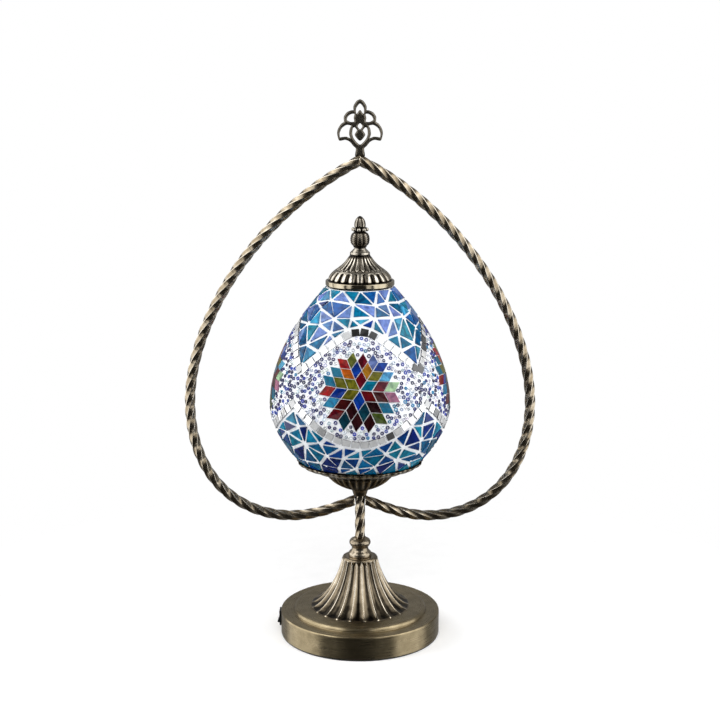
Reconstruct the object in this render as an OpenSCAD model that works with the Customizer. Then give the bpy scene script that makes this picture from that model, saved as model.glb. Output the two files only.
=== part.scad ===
// Mosaic glass table lamp on a spade-shaped frame of twisted brass rod.
// The origin is the centre of the foot, +Z is up, and the front looks along -Y.

/* [Base] */
// Radius of the round base drum
base_r = 66.9; // [65:0.1:68]
// Height of the drum's outer rim above the table
rim_z = 20.2; // [20:0.1:20.4]
// Height of the raised middle step
step_z = 23.3; // [23.1:0.1:23.5]
// Outer radius of the raised middle step
step_r = 56; // [52:0.5:58]
// Sheet thickness of the spun base
base_wall = 1.1; // [1:0.05:1.2]
// Thickness of the felt under the base
felt_t = 1.2; // [1:0.1:1.2]

/* [Fluted cone] */
// Radius of the cone's foot
cone_foot_r = 41.5; // [38:0.5:44]
// Height of the cone's shoulder
cone_top_z = 66.8; // [64:0.2:67]
// Number of flutes round the cone
cone_flutes = 22; // [16:1:24]

/* [Frame] */
// Greatest half width of the spade, to the middle of the rod
spade_half_w = 140.2; // [130:0.5:150]
// Height of the widest place
spade_wide_z = 197; // [190:1:205]
// Height of the lobes' lowest place, to the middle of the rod
lobe_z = 102; // [100:0.5:106]
// Height of the point where the two rods meet
apex_z = 397.6; // [396:0.2:398]
// Outer radius of the twisted rod
rod_r = 4.4; // [3.8:0.1:4.6]
// Length of one full turn of the rod's twist
twist_lead = 71; // [50:1:100]
// Full height of the lamp
lamp_h = 445.5; // [444:0.5:450]

/* [Globe] */
// Greatest radius of the globe over its mosaic
globe_r = 74.7; // [73:0.1:76]
// Height of the greatest radius
globe_wide_z = 198; // [196:1:200]
// Thickness of the blown glass
glass_wall = 1.8; // [1.4:0.1:2]
// Thickness of the mosaic over the glass
mosaic_t = 2.6; // [2.4:0.1:2.8]
// Height of each star's middle
star_z = 225.6; // [222:0.2:228]
// Side of one star diamond with its joint
star_pitch = 9.4; // [9:0.1:9.6]
// Number of star medallions round the globe
stars = 4; // [4:1:4]

/* [Switch] */
// Height of the switch's middle
switch_z = 12.4; // [12:0.1:12.8]
// Tilt of the rocker either side of its middle
rocker_tilt = 10; // [6:1:10]

/* [Battery] */
// Diameter of one AA cell
cell_d = 14.2; // [14:0.1:14.3]
// Length of one AA cell
cell_l = 50.5; // [49.5:0.1:50.5]

/* [Hidden] */
$fn = 64;

// Small distances used throughout
gap = 0.05;
cut = 1;

// Brass, glass and plastic colours
brass = "#8a7a55";
pewter = "#7d766a";
steel = "silver";

// Stem and its fittings
stem_r = 4.3;
stem_plain_r = 3.9;
stem_bore_r = 2.4;
stem_low_z = 13;
stem_twist_z = 82.8;
stem_plain_z = 119.6;
stem_top_z = 149;
bore_r = 4;

// Cup under the globe
cup_flutes = 30;
cup_low_z = stem_plain_z + gap;
cup_rim_z = 136.2;
cup_rim_r = 28.6;
brim_lobes = 20;

// Cap over the globe
cap_z = 297.5;
cap_petals = 22;
cap_neck_z = 328;
tip_z = 353.3;
cap_hole_r = 2.1;

// Bulb and lampholder
holder_z = 149.2;
thread_r = 7;
bulb_low_z = 158;

// Battery case, to the +X side of the stem
tray_x0 = 11.5;
tray_x1 = 57.5;
tray_y = 28.5;
tray_wall = 1.2;
cover_t = 1.2;
cover_z = felt_t + cover_t;
cell_pitch = cell_d + 0.15;
cell_mid_x = (tray_x0 + tray_x1) / 2;
cell_z = 10.4;
door_z = 1.4;
door_t = 1.4;
door_hinge_x = 14.2;
door_hinge_z = 2.6;
door_pin_r = 0.9;

// Switch in the -X side of the drum
switch_pivot_x = -base_r + 1.3;
rocker_half_h = 4.8;
rocker_half_w = 3.2;
rocker_pin_r = 1;

// Wires
wire_r = 0.7;

// ---------- curves and surfaces ----------

// A point on a cubic curve with four control points
function bez(p, t) =
    pow(1 - t, 3) * p[0] + 3 * pow(1 - t, 2) * t * p[1] + 3 * (1 - t) * t * t * p[2] + pow(t, 3) * p[3];

// Points along a cubic curve, without its last point
function bez_run(p, n) = [for (i = [0:n - 1]) bez(p, i / n)];

// The globe's outline over its mosaic, [radius, height] from the bottom up
globe_low = [[29, 143.4], [38, 144], [45, 146], [50, 150.6]];
globe_belly = [[50, 150.6], [67.2, 166.5], [globe_r, globe_wide_z - 10.7], [globe_r, globe_wide_z]];
globe_crown = [[globe_r, globe_wide_z], [globe_r, globe_wide_z + 52.4], [27.6, 296.7], [25.5, 299.6]];
outline = concat(bez_run(globe_low, 8), bez_run(globe_belly, 14), bez_run(globe_crown, 26), [globe_crown[3]]);
outline_by_z = [for (p = outline) [p[1], p[0]]];

function globe_radius(z) = lookup(z, outline_by_z);
function globe_slope(z) = globe_radius(z + 0.6) - globe_radius(z - 0.6);

// A point at height z and azimuth a, a distance h outside the outline. Azimuth 0 is the front.
function on_globe(z, a, h) =
    let (k = globe_slope(z) / 1.2, n = [1, -k] / norm([1, -k]), r = globe_radius(z) + h * n[0])
    [r * sin(a), -r * cos(a), z + h * n[1]];

// The outline moved inward by d, between two heights
function inset(d, z0, z1) = [
    for (i = [0:len(outline) - 1])
        let (
            a = outline[max(i - 1, 0)],
            b = outline[min(i + 1, len(outline) - 1)],
            n = [b[1] - a[1], a[0] - b[0]] / norm(b - a)
        )
        if (outline[i][1] >= z0 && outline[i][1] <= z1) outline[i] - d * n
];
function backward(p) = [for (i = [len(p) - 1:-1:0]) p[i]];

// ---------- mesh builders ----------

// A solid through rings of points. A closed loft joins its last ring to its first.
module loft(rings, closed = false) {
    n = len(rings[0]);
    m = len(rings);
    last = closed ? m - 1 : m - 2;
    sides = [
        for (i = [0:last], j = [0:n - 1])
            let (u = i * n, v = ((i + 1) % m) * n, k = (j + 1) % n)
            each [[u + j, v + j, v + k], [u + j, v + k, u + k]]
    ];
    ends = closed ? [] : [[for (j = [0:n - 1]) j], [for (j = [n - 1:-1:0]) (m - 1) * n + j]];
    polyhedron(points = [for (r = rings) each r], faces = concat(sides, ends));
}

// Rings of a turned body whose radius is cut by flutes, with a depth for each point of the profile
function fluted_rings(profile, depths, flutes, seg) = [
    for (i = [0:len(profile) - 1])
        [for (j = [0:flutes * seg - 1])
            let (r = profile[i][0] - depths[i] * sin(180 * (j % seg) / seg), a = 360 * j / (flutes * seg))
            [r * cos(a), r * sin(a), profile[i][1]]]
];

// A fluted outside over a plain inside. Both are profiles of [radius, height], and the inside
// runs back from the outside's last point to its first.
module fluted_shell(outside, depths, inside, flutes, seg) {
    none = [for (p = inside) 0];
    outer_rings = fluted_rings(outside, depths, flutes, seg);
    loft(concat(outer_rings, fluted_rings(inside, none, flutes, seg)), closed = true);
}

// Running length at each point of a path
function run_lengths(p) = [
    for (i = 0, s = 0; i < len(p); s = s + (i < len(p) - 1 ? norm(p[i + 1] - p[i]) : 0), i = i + 1) s
];
function heading(p, i) =
    let (d = p[min(i + 1, len(p) - 1)] - p[max(i - 1, 0)]) d / norm(d);

// A thin tube along a path of points, such as a wire
module wire(path, r, n = 8) {
    loft([
        for (i = [0:len(path) - 1])
            let (
                t = heading(path, i),
                side = abs(t[2]) > 0.9 ? [1, 0, 0] : [0, 0, 1],
                u = cross(side, t) / norm(cross(side, t)),
                v = cross(t, u)
            )
            [for (j = [0:n - 1]) path[i] + r * (cos(360 * j / n) * u + sin(360 * j / n) * v)]
    ]);
}

// A flat tile on the globe with the given [height, azimuth] corners, listed anticlockwise
// as seen from outside
tile_low = -0.7;
module tile(corners) {
    n = len(corners);
    inner = [for (c = corners) on_globe(c[0], c[1], tile_low)];
    outer = [for (c = corners) on_globe(c[0], c[1], 0)];
    back = [for (j = [1:n - 2]) [0, j, j + 1]];
    front = [for (f = back) [n + f[0], n + f[2], n + f[1]]];
    sides = [for (j = [0:n - 1]) let (k = (j + 1) % n) each [[j, n + j, n + k], [j, n + k, k]]];
    polyhedron(points = concat(inner, outer), faces = concat(back, front, sides));
}

// Corners drawn in towards their middle, which leaves the joint round a tile
function shrink(c, k) =
    let (m = [for (i = [0, 1]) (c[0][i] + c[1][i] + c[2][i] + (len(c) > 3 ? c[3][i] : 0)) / len(c)])
    [for (p = c) m + (p - m) * k];

// ---------- base ----------

module felt_pad() {
    color("black")
    difference() {
        cylinder(h = felt_t, r = base_r - 0.4);
        translate([tray_x0 - 0.6, -tray_y - 0.6, -cut])
            cube([tray_x1 - tray_x0 + 1.2, 2 * tray_y + 1.2, felt_t + 2 * cut]);
        at_posts() translate([0, 0, -cut]) cylinder(h = felt_t + 2 * cut, r = 3.6, $fn = 32);
    }
}

// The four places where the cover is screwed on
module at_posts() {
    for (a = [70, 150, 210, 290]) rotate(a) translate([base_r - 9.3, 0, 0]) children();
}

module base_cover() {
    color(steel)
    difference() {
        translate([0, 0, felt_t]) cylinder(h = cover_t, r = base_r - base_wall - 0.3);
        translate([tray_x0 - gap, -tray_y - gap, 0])
            cube([tray_x1 - tray_x0 + 2 * gap, 2 * (tray_y + gap), cover_z + cut]);
        at_posts() cylinder(h = cover_z + cut, r = 1.7, $fn = 32);
    }
}

module cover_posts() {
    color(steel)
    at_posts() difference() {
        translate([0, 0, cover_z]) cylinder(h = rim_z - base_wall - cover_z - gap, r = 3, $fn = 32);
        translate([0, 0, cover_z - cut]) cylinder(h = 11, r = 1.55, $fn = 32);
    }
}

module cover_screws() {
    color("dimgray")
    at_posts() {
        translate([0, 0, felt_t + gap - 1.1]) cylinder(h = 1.1 - gap, r = 3, $fn = 32);
        translate([0, 0, felt_t - gap]) cylinder(h = 9.5, r = 1.5, $fn = 32);
    }
}

// Half section of the spun base from its lip to the middle hole, moved inward by d
function base_section(d) =
    let (round = 1.2, nose = 2.9)
    concat(
        [[base_r - d, felt_t]],
        [for (a = [0:30:90]) [base_r - round + (round - d) * cos(a), rim_z - round + (round - d) * sin(a)]],
        [[step_r + 0.3 - d, rim_z - d]],
        [for (a = [0:18:90]) [step_r - nose + (nose - d) * cos(a), step_z - nose + (nose - d) * sin(a)]],
        [[bore_r + 0.2, step_z - d]]
    );

module base_pan() {
    color(brass)
    difference() {
        rotate_extrude($fn = 128) polygon(concat(base_section(0), backward(base_section(base_wall))));
        translate([-base_r - cut, -4.3, switch_z - 6]) cube([4, 8.6, 12]);
    }
}

module ballast_weight() {
    color("#3a3a3a")
    difference() {
        translate([0, 0, cover_z + gap]) cylinder(h = 10.6, r = 46, $fn = 96);
        cylinder(h = 30, r = 14);
        translate([8, -60, 0]) cube([60, 120, 30]);
        translate([-60, -8, 0]) cube([24, 16, 30]);
    }
}

module base_washer() {
    color(steel)
    difference() {
        translate([0, 0, 20.6]) cylinder(h = step_z - base_wall - 20.6, r = 9);
        cylinder(h = 40, r = bore_r);
    }
}

module base_nut() {
    color(steel)
    difference() {
        translate([0, 0, 16.6]) cylinder(h = 4, r = 7, $fn = 6);
        cylinder(h = 40, r = stem_plain_r + 0.02);
    }
}

// ---------- cone, ferrule and stem ----------

cone_curve = [[cone_foot_r, step_z + 0.9], [30, 28.2], [19, 47], [15, cone_top_z - 1.8]];
cone_profile = concat(
    [[cone_foot_r, step_z + gap]],
    bez_run(cone_curve, 12),
    [cone_curve[3], [14.4, cone_top_z - 0.6]]
);
cone_depths = [
    for (i = [0:len(cone_profile) - 1])
        i < 1 ? 0.2 : i > len(cone_profile) - 3 ? 0.1 : 0.35 + 0.05 * cone_profile[i][0]
];

module flute_cone() {
    color(brass)
    difference() {
        union() {
            loft(fluted_rings(cone_profile, cone_depths, cone_flutes, 4));
            translate([0, 0, cone_top_z - 0.7]) cylinder(h = 0.7, r = 13.6);
        }
        rotate_extrude() polygon([
            [0, step_z - cut], [34, step_z - cut], [25, 30], [17.5, 40], [13, 52], [11, 60],
            [9, 61.5], [0, 61.5]
        ]);
        cylinder(h = 80, r = bore_r);
    }
}

// Turned ferrule: a rim, a bell-shaped foot, a waist and a round bead
ferrule_bell = [[9.6, cone_top_z + 2.3], [9.3, cone_top_z + 4.4], [6.9, 71.2], [6.9, 73.9]];
module neck_ferrule() {
    color(brass)
    rotate_extrude() polygon(concat(
        [[bore_r, cone_top_z + gap], [9.2, cone_top_z + gap], [9.6, cone_top_z + 0.5]],
        bez_run(ferrule_bell, 8),
        [ferrule_bell[3], [6.9, 74.4], [7.4, 75.4]],
        [for (a = [-60:20:80]) [6 + 3 * cos(a), 78.7 + 3.2 * sin(a)]],
        [[5.4, 82.7], [bore_r, 82.7]]
    ));
}

twisted_h = stem_plain_z - stem_twist_z;
stem_groove = 0.5;
module stem() {
    color(brass)
    difference() {
        union() {
            translate([0, 0, stem_low_z]) cylinder(h = stem_twist_z - stem_low_z + 0.2, r = stem_plain_r);
            translate([0, 0, stem_plain_z - 0.2])
                cylinder(h = stem_top_z - stem_plain_z + 0.2, r = stem_plain_r);
            translate([0, 0, stem_twist_z])
                linear_extrude(twisted_h, twist = -360 * twisted_h / twist_lead, slices = 12)
                polygon([for (j = [0:11]) (stem_r - stem_groove * (j % 2)) * [cos(30 * j), sin(30 * j)]]);
        }
        cylinder(h = 200, r = stem_bore_r);
    }
}

// ---------- frame ----------

// Middle line of the right-hand rod from the stem to the apex, as [x, z]
rod_inner = [[4.3, 115.2], [16, 111.5], [34, lobe_z], [57.5, lobe_z]];
rod_lobe = [[57.5, lobe_z], [101.5, lobe_z], [spade_half_w, spade_wide_z - 62], [spade_half_w, spade_wide_z]];
rod_upper = [[spade_half_w, spade_wide_z], [spade_half_w, spade_wide_z + 68.2], [84, 355.2], [0, apex_z]];
rod_line = concat(bez_run(rod_inner, 11), bez_run(rod_lobe, 24), bez_run(rod_upper, 46), [rod_upper[3]]);

// Depth of the grooves between the rod's six strands
rod_groove = 0.6;

// One twisted rod; side is 1 for the right and -1 for the left
module frame_rod(side) {
    line = [for (p = rod_line) [side * p[0], 0, p[1]]];
    run = run_lengths(line);
    last = len(line) - 1;
    loft([
        for (i = [0:last])
            let (
                t = heading(line, i),
                u = [t[2], 0, -t[0]],
                plane = i == 0 ? side * 4.35 : side * 0.02
            )
            [for (j = [0:11])
                let (
                    a = 30 * j + 360 * run[i] / twist_lead,
                    r = rod_r - rod_groove * (j % 2),
                    p = line[i] + r * (cos(a) * u + sin(a) * [0, 1, 0])
                )
                i == 0 || i == last ? p + t * (plane - p[0]) / t[0] : p]
    ]);
}

module frame_rod_left() {
    color(brass) frame_rod(-1);
}

module frame_rod_right() {
    color(brass) frame_rod(1);
}

// Flat pierced palmette on the apex, drawn as half an outline and its openings
palmette_low_z = 402.6;
palmette_t = 3;
palmette_half = [
    [0, 0], [2.9, 0], [2.9, 4.2], [5, 6.4], [8.3, 9.7], [11.7, 11.1], [16.5, 10.6], [18.1, 15.8],
    [17.5, 19.7], [15, 23.6], [12.8, 25.3], [12.8, 29.2], [10.6, 32.5], [7.2, 34.2], [5.2, 34.4],
    [5.3, 35.8], [5, 38], [2.8, 41.4], [0, 42.8]
];
palmette_petal = [
    [8, 12.6], [10.8, 13.6], [14, 13.4], [15.9, 13.2], [16.1, 16.4], [14.4, 20.3], [10.8, 22.8], [7.2, 22.3],
    [8.2, 19.7], [8.7, 15.8]
];
palmette_upper_petal = [
    [10.4, 26.8], [9.4, 29.7], [6.8, 31.4], [4.4, 31.4], [5, 28.4], [4.6, 25.6], [7.4, 25.2]
];
palmette_pocket = [
    [0, 7.4], [4.6, 11.6], [6.1, 15.6], [5.7, 20], [4.3, 21], [2.4, 18.6], [4.2, 15.2], [2, 11.8], [0, 10.4]
];
palmette_top = [[0, 34.6], [2.6, 31.6], [3.2, 33.4], [2.8, 36.4], [0, 39.6]];
palmette_lozenge = [[0, 19.4], [1.9, 21.9], [0, 24.2]];

module mirrored_polygon(half) {
    polygon(concat(half, [for (p = backward(half)) if (p[0] > 0) [-p[0], p[1]]]));
}

module palmette() {
    tip = palmette_half[len(palmette_half) - 1];
    color(pewter)
    translate([0, palmette_t / 2, palmette_low_z])
    rotate([90, 0, 0])
    linear_extrude(palmette_t) difference() {
        scale((lamp_h - palmette_low_z) / tip[1]) mirrored_polygon(palmette_half);
        for (s = [1, -1]) mirror([s > 0 ? 0 : 1, 0]) {
            polygon(palmette_petal);
            polygon(palmette_upper_petal);
        }
        mirrored_polygon(palmette_pocket);
        mirrored_polygon(palmette_top);
        mirrored_polygon(palmette_lozenge);
    }
}

// ---------- cup ----------

cup_curve = [[8.9, 125.2], [16, 126.4], [24.5, 129.5], [cup_rim_r, cup_rim_z]];
cup_outside = concat(
    [[bore_r, cup_low_z], [5, cup_low_z], [8.6, 122.2], [9, 124.4]],
    bez_run(cup_curve, 4),
    [cup_curve[3]]
);
cup_inside = [[26, cup_rim_z], [20, 130.8], [bore_r, 127.2]];
cup_depths = [for (p = cup_outside) p[0] > bore_r ? 0.045 * p[0] : 0];

module cup_bowl() {
    color(brass) fluted_shell(cup_outside, cup_depths, cup_inside, cup_flutes, 4);
}

// Scalloped dish under the globe: its lower curve, and the same curve raised by its thickness
brim_curve = [[25.6, 136.4], [36, 139.4], [47, 143.8], [52, 150.2]];
brim_t = 1.3;

module brim_dish() {
    color(brass)
    difference() {
        loft([
            for (i = [0:brim_lobes * 4 - 1])
                let (
                    a = 360 * i / (brim_lobes * 4),
                    low = concat(bez_run(brim_curve, 4), [brim_curve[3]]),
                    wave = function(p) 0.9 * sin(a * brim_lobes) * (p[0] - brim_curve[0][0]) / 26,
                    put = function(p, h) [(p[0] + wave(p)) * cos(a), (p[0] + wave(p)) * sin(a), p[1] + h]
                )
                concat([for (p = low) put(p, brim_t)], [for (p = backward(low)) put(p, 0)])
        ], closed = true);
        cylinder(h = 200, r = 25.8);
    }
}

module cup_washer() {
    color(steel)
    difference() {
        translate([0, 0, 128.7]) cylinder(h = 1.2, r = 9);
        cylinder(h = 200, r = bore_r);
    }
}

module cup_nut() {
    color(steel)
    difference() {
        translate([0, 0, 130]) cylinder(h = 4, r = 7, $fn = 6);
        cylinder(h = 200, r = stem_plain_r + 0.02);
    }
}

// Ring that centres the globe's foot on the brim
module globe_seal() {
    color("#2b2b2b")
    difference() {
        translate([0, 0, 140.2]) cylinder(h = 5, r = 28.5);
        cylinder(h = 200, r = 25.9);
    }
}

// ---------- globe ----------

glass_top_z = 299.6;
mosaic_top_z = 297.3;
mosaic_low_z = 150.4;
grout_inset = 1.9;

module shell(d_out, d_in, z0, z1) {
    rotate_extrude($fn = 96) polygon(concat(inset(d_out, z0, z1), backward(inset(d_in, z0, z1))));
}

module globe_glass() {
    color("aliceblue", 0.4) shell(mosaic_t, mosaic_t + glass_wall, 0, glass_top_z);
}

module grout_skin() {
    color("white") shell(grout_inset, mosaic_t - gap, mosaic_low_z, mosaic_top_z);
}

// The beaded belt waves round the globe: widest at each star, narrowest between two stars.
belt_peak_z = 268.2;
belt_cusp_z = 235.8;
belt_low_z = 180.9;
belt_low_cusp_z = 211.3;
sector = 360 / stars;
function arch(a) = cos(90 * (2 * abs(((a + sector / 2 + 720) % sector) - sector / 2) / sector));
function belt_top(a) = belt_cusp_z + (belt_peak_z - belt_cusp_z) * arch(a);
function belt_low(a) = belt_low_cusp_z - (belt_low_cusp_z - belt_low_z) * arch(a);

mirror_w = 6.2;
mirror_half_h = 2.9;

// Bed of clear adhesive that the seed beads are set in, between two depths below the outline
bed_face = -1.1;
bed_back = -1.42;
bed_steps = 8;
module bead_belt() {
    color("lavender")
    loft([
        for (a = [0:6:354])
            let (
                z0 = belt_low(a) + mirror_half_h,
                rise = (belt_top(a) - mirror_half_h - z0) / bed_steps
            )
            concat(
                [for (i = [bed_steps:-1:0]) on_globe(z0 + rise * i, -a, bed_face)],
                [for (i = [0:bed_steps]) on_globe(z0 + rise * i, -a, bed_back)]
            )
    ], closed = true);
}

// Height and azimuth of a point u across and v up from a star's middle
function on_star(u, v, a0) =
    let (z = star_z + v * cos(atan(globe_slope(star_z) / 1.2))) [z, a0 + u / globe_radius(z) * 180 / PI];

// Seed beads in rings round each star, out to the mirror tiles
bead_d = 3;
bead_ring_r = 37;
bead_step = 5.4;
bead_margin = 5.5;
module seed_beads() {
    color("midnightblue")
    for (s = [0:stars - 1], ring = [0:3]) {
        rho = bead_ring_r + ring * bead_step;
        count = floor(2 * 180 * rho / 57.3 / bead_step);
        for (k = [0:count - 1]) {
            t = 360 * k / count;
            q = on_star(rho * cos(t), rho * sin(t), 0);
            under_top = q[0] < belt_top(q[1]) - bead_margin;
            inside = abs(q[1]) < sector / 2 - 1.5 && under_top && q[0] > belt_low(q[1]) + bead_margin;
            if (inside) {
                at = on_globe(q[0], 0, -1);
                tilt = atan(globe_slope(q[0]) / 1.2);
                rotate(q[1] + s * sector) translate(at) rotate([90 + tilt, 0, 0])
                    cylinder(h = 1, d = bead_d, $fn = 16);
            }
        }
    }
}

// Small square mirrors along both edges of the belt
module mirror_tiles() {
    color("silver")
    for (edge = [0, 1], k = [0:stars * 11 - 1]) {
        a = sector / 2 + (k + 0.5) * 360 / (stars * 11);
        half = mirror_w / 2 / globe_radius(225) * 180 / PI;
        z0 = edge == 1 ? belt_top(a - half) : belt_low(a - half);
        z1 = edge == 1 ? belt_top(a + half) : belt_low(a + half);
        h = mirror_half_h - 0.2;
        tile([[z0 - h, a - half], [z1 - h, a + half], [z1 + h, a + half], [z0 + h, a - half]]);
    }
}

// One star is six sectors of six diamonds. Each string gives the colours clockwise from the top:
// r is a red, a is an amber or olive and b is a blue.
star_colours = ["rbrbaa", "baarrrbrrbaa", "arbbbarbarrbrbrbbr"];
star_lean = 84.7;
module star_tiles(key) {
    for (s = [0:stars - 1], ring = [0:2], m = [0:6 * (ring + 1) - 1])
        if (star_colours[ring][m] == key) {
            axis = star_lean - 60 * floor(m / (ring + 1));
            i = m % (ring + 1);
            j = ring - i;
            a = star_pitch * [cos(axis - 30), sin(axis - 30)];
            b = star_pitch * [cos(axis + 30), sin(axis + 30)];
            start = i * a + j * b;
            diamond = shrink([start, start + a, start + a + b, start + b], 0.9);
            tile([for (p = diamond) on_star(p[0], p[1], s * sector)]);
        }
}

module star_tiles_red() {
    color("#8c2318") star_tiles("r");
}

module star_tiles_amber() {
    color("#9a7a1c") star_tiles("a");
}

module star_tiles_blue() {
    color("#1d6f9a") star_tiles("b");
}

// Rows of triangles between the belt and the cap, or between the belt and the brim. A row's own
// number of triangles keeps them near one size, and every triangle falls in one of the colours.
function row_z(upper, f, a) =
    upper
    ? mosaic_top_z - 0.6 + (belt_top(a) + mirror_half_h + 1.6 - mosaic_top_z) * f
    : mosaic_low_z + 0.8 + (belt_low(a) - mirror_half_h - 2.4 - mosaic_low_z) * f;

module triangle_rows(upper, counts, colour, colours) {
    rows = len(counts);
    for (r = [0:rows - 1], k = [0:2 * counts[r] - 1])
        if ((k * 5 + r * 3 + floor(k / 3)) % colours == colour) {
            step = 180 / counts[r];
            a = k * step;
            f0 = (k % 2 == 0) ? r / rows : (r + 1) / rows;
            f1 = (k % 2 == 0) ? (r + 1) / rows : r / rows;
            c = [
                [row_z(upper, f0, a - step), a - step],
                [row_z(upper, f1, a), a],
                [row_z(upper, f0, a + step), a + step]
            ];
            flip = (c[1][0] > c[0][0]);
            tile(shrink(flip ? [c[0], c[2], c[1]] : c, 0.86));
        }
}

upper_counts = [14, 20, 26];
lower_counts = [24, 28, 32];

module upper_tiles_teal() {
    color("#1a86a8") triangle_rows(true, upper_counts, 0, 3);
}

module upper_tiles_blue() {
    color("#1f4fa8") triangle_rows(true, upper_counts, 1, 3);
}

module upper_tiles_lilac() {
    color("#8a86c4") triangle_rows(true, upper_counts, 2, 3);
}

module lower_tiles_teal() {
    color("#1a86a8") triangle_rows(false, lower_counts, 0, 2);
}

module lower_tiles_navy() {
    color("#16206e") triangle_rows(false, lower_counts, 1, 2);
}

// ---------- lampholder and bulb ----------

module socket_base() {
    color("#222222")
    difference() {
        translate([0, 0, 140]) cylinder(h = holder_z - 140, r = 13.6);
        cylinder(h = 200, r = stem_plain_r + 0.02);
    }
}

module socket_shell() {
    color("#222222")
    difference() {
        translate([0, 0, holder_z + gap]) cylinder(h = 32, r = 13);
        translate([0, 0, holder_z + 4]) cylinder(h = 40, r = thread_r + 0.6);
        cylinder(h = 200, r = 3);
    }
}

module socket_thread() {
    color(steel)
    difference() {
        translate([0, 0, bulb_low_z]) cylinder(h = 20, r = thread_r + 0.5);
        translate([0, 0, bulb_low_z - cut]) cylinder(h = 30, r = thread_r);
    }
}

module socket_contact() {
    color("goldenrod")
    translate([0, 0, holder_z + 4.1]) {
        translate([-5, -2, 0]) cube([10, 4, 0.8]);
        translate([0, 0, 0.7]) cylinder(h = 1.4, r = 2.4);
    }
}

module bulb_screw_shell() {
    color(steel) difference() {
        translate([0, 0, bulb_low_z]) cylinder(h = 20, r = thread_r - 0.06);
        translate([0, 0, bulb_low_z + 1]) cylinder(h = 30, r = thread_r - 0.6);
        cylinder(h = 200, r = 2.9);
    }
}

module bulb_tip_contact() {
    color("goldenrod") {
        translate([0, 0, bulb_low_z - 2.2]) cylinder(h = 2.2, r = 2.3);
        translate([0, 0, bulb_low_z - 0.1]) cylinder(h = 1.5, r = 2.85);
    }
}

module bulb_collar() {
    color("whitesmoke")
    rotate_extrude() polygon([
        [0, bulb_low_z + 15], [6.3, bulb_low_z + 15], [6.3, 183], [9, 183.2],
        [14.6, 199], [14.6, 204], [0, 204]
    ]);
}

// Candle bulb: a closed glass shell standing on the collar
bulb_body = [
    [14.4, 204.1], [16.6, 206], [17.5, 212], [17, 221], [14, 233], [8.6, 246], [3, 256.6], [0, 259]
];
bulb_cavity = [
    [13, 203], [15.4, 206.4], [16.4, 212], [15.9, 220.6], [13, 232.4], [7.8, 245], [2, 254.6], [0, 256]
];
module bulb_glass() {
    color("white", 0.7)
    difference() {
        rotate_extrude() polygon(concat([[0, 204.1]], bulb_body));
        rotate_extrude() polygon(concat([[0, 203]], bulb_cavity));
    }
}

module bulb_light_pipe() {
    color("gold")
    rotate_extrude() polygon([[0, 204.1], [5, 204.1], [3, 208], [3, 236], [1.6, 240], [0, 240.4]]);
}

// ---------- cap ----------

module cap_collar() {
    color(pewter)
    rotate_extrude() polygon([
        [24.2, cap_z], [27.4, cap_z], [28, cap_z + 0.8],
        [28, cap_z + 2.4], [26.6, cap_z + 3.8], [24.2, cap_z + 3.8]
    ]);
}

cap_curve = [[26.2, cap_z + 3.9], [24, 310.5], [13.5, 310.6], [8.2, 322.6]];
cap_outside = concat(bez_run(cap_curve, 8), [cap_curve[3], [6.4, 325.2], [4.6, cap_neck_z]]);
cap_inside = [
    [cap_hole_r, cap_neck_z], [cap_hole_r, 321.6], [7, 320], [10.6, 315], [15.6, 310.8], [20.6, 306.5],
    [23, cap_curve[0][1]]
];
cap_depths = [for (p = cap_outside) p[1] > 321 ? 0 : 0.07 * p[0]];

module cap_dome() {
    color(pewter) fluted_shell(cap_outside, cap_depths, cap_inside, cap_petals, 4);
}

// Finial: a ribbed bulb, a ring of small beads and an acorn
module cap_knob() {
    color(pewter) {
        rotate_extrude() polygon(concat(
            [[cap_hole_r, cap_neck_z + gap], [4.8, cap_neck_z + gap]],
            [for (a = [-50:20:70]) [2.6 + 5.3 * cos(a), 334.3 + 7.2 * sin(a)]],
            [[4.4, 342], [cap_hole_r, 342]]
        ));
        rotate_extrude() translate([5.5, 342.4]) circle(r = 1.7, $fn = 24);
        rotate_extrude() polygon([
            [0, 341.9], [4.4, 341.9], [4.7, 344.4], [4.4, 347.4], [3.2, 350.6], [1.4, 352.8], [0, tip_z]
        ]);
    }
}

module cap_stud() {
    color(steel) translate([0, 0, 288]) cylinder(h = 341.8 - 288, r = cap_hole_r - 0.05);
}

module cap_nut() {
    color(steel)
    difference() {
        translate([0, 0, 289.4]) cylinder(h = 3, r = 4, $fn = 6);
        cylinder(h = 400, r = cap_hole_r - 0.03);
    }
}

// Bent strip that springs inside the globe's neck and holds the cap down
spring_reach = 20.4;
spring_half = [
    [0, 292.6], [spring_reach - 2.3, 292.6], [spring_reach - 0.8, 283.5], [spring_reach, 283.5],
    [spring_reach - 1.4, 293.5], [0, 293.5]
];
module cap_spring() {
    color(steel)
    difference() {
        translate([0, 4, 0]) rotate([90, 0, 0]) linear_extrude(8) mirrored_polygon(spring_half);
        cylinder(h = 400, r = cap_hole_r);
    }
}

// ---------- switch ----------

module switch_housing() {
    color("#161616")
    difference() {
        union() {
            translate([-base_r + 0.6, -4.2, switch_z - 5.95]) cube([11.4, 8.4, 11.9]);
            translate([-base_r - 1.3, -4.9, switch_z - 6.35]) cube([1.25, 9.8, 12.7]);
            translate([-base_r - 0.2, -4.2, switch_z - 5.95]) cube([2, 8.4, 11.9]);
        }
        translate([-base_r - 3, -rocker_half_w - 0.3, switch_z - 5.5])
            cube([11, 2 * rocker_half_w + 0.6, 11]);
        translate([switch_pivot_x, 5, switch_z]) rotate([90, 0, 0])
            cylinder(h = 10, r = rocker_pin_r + gap, $fn = 32);
    }
}

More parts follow.
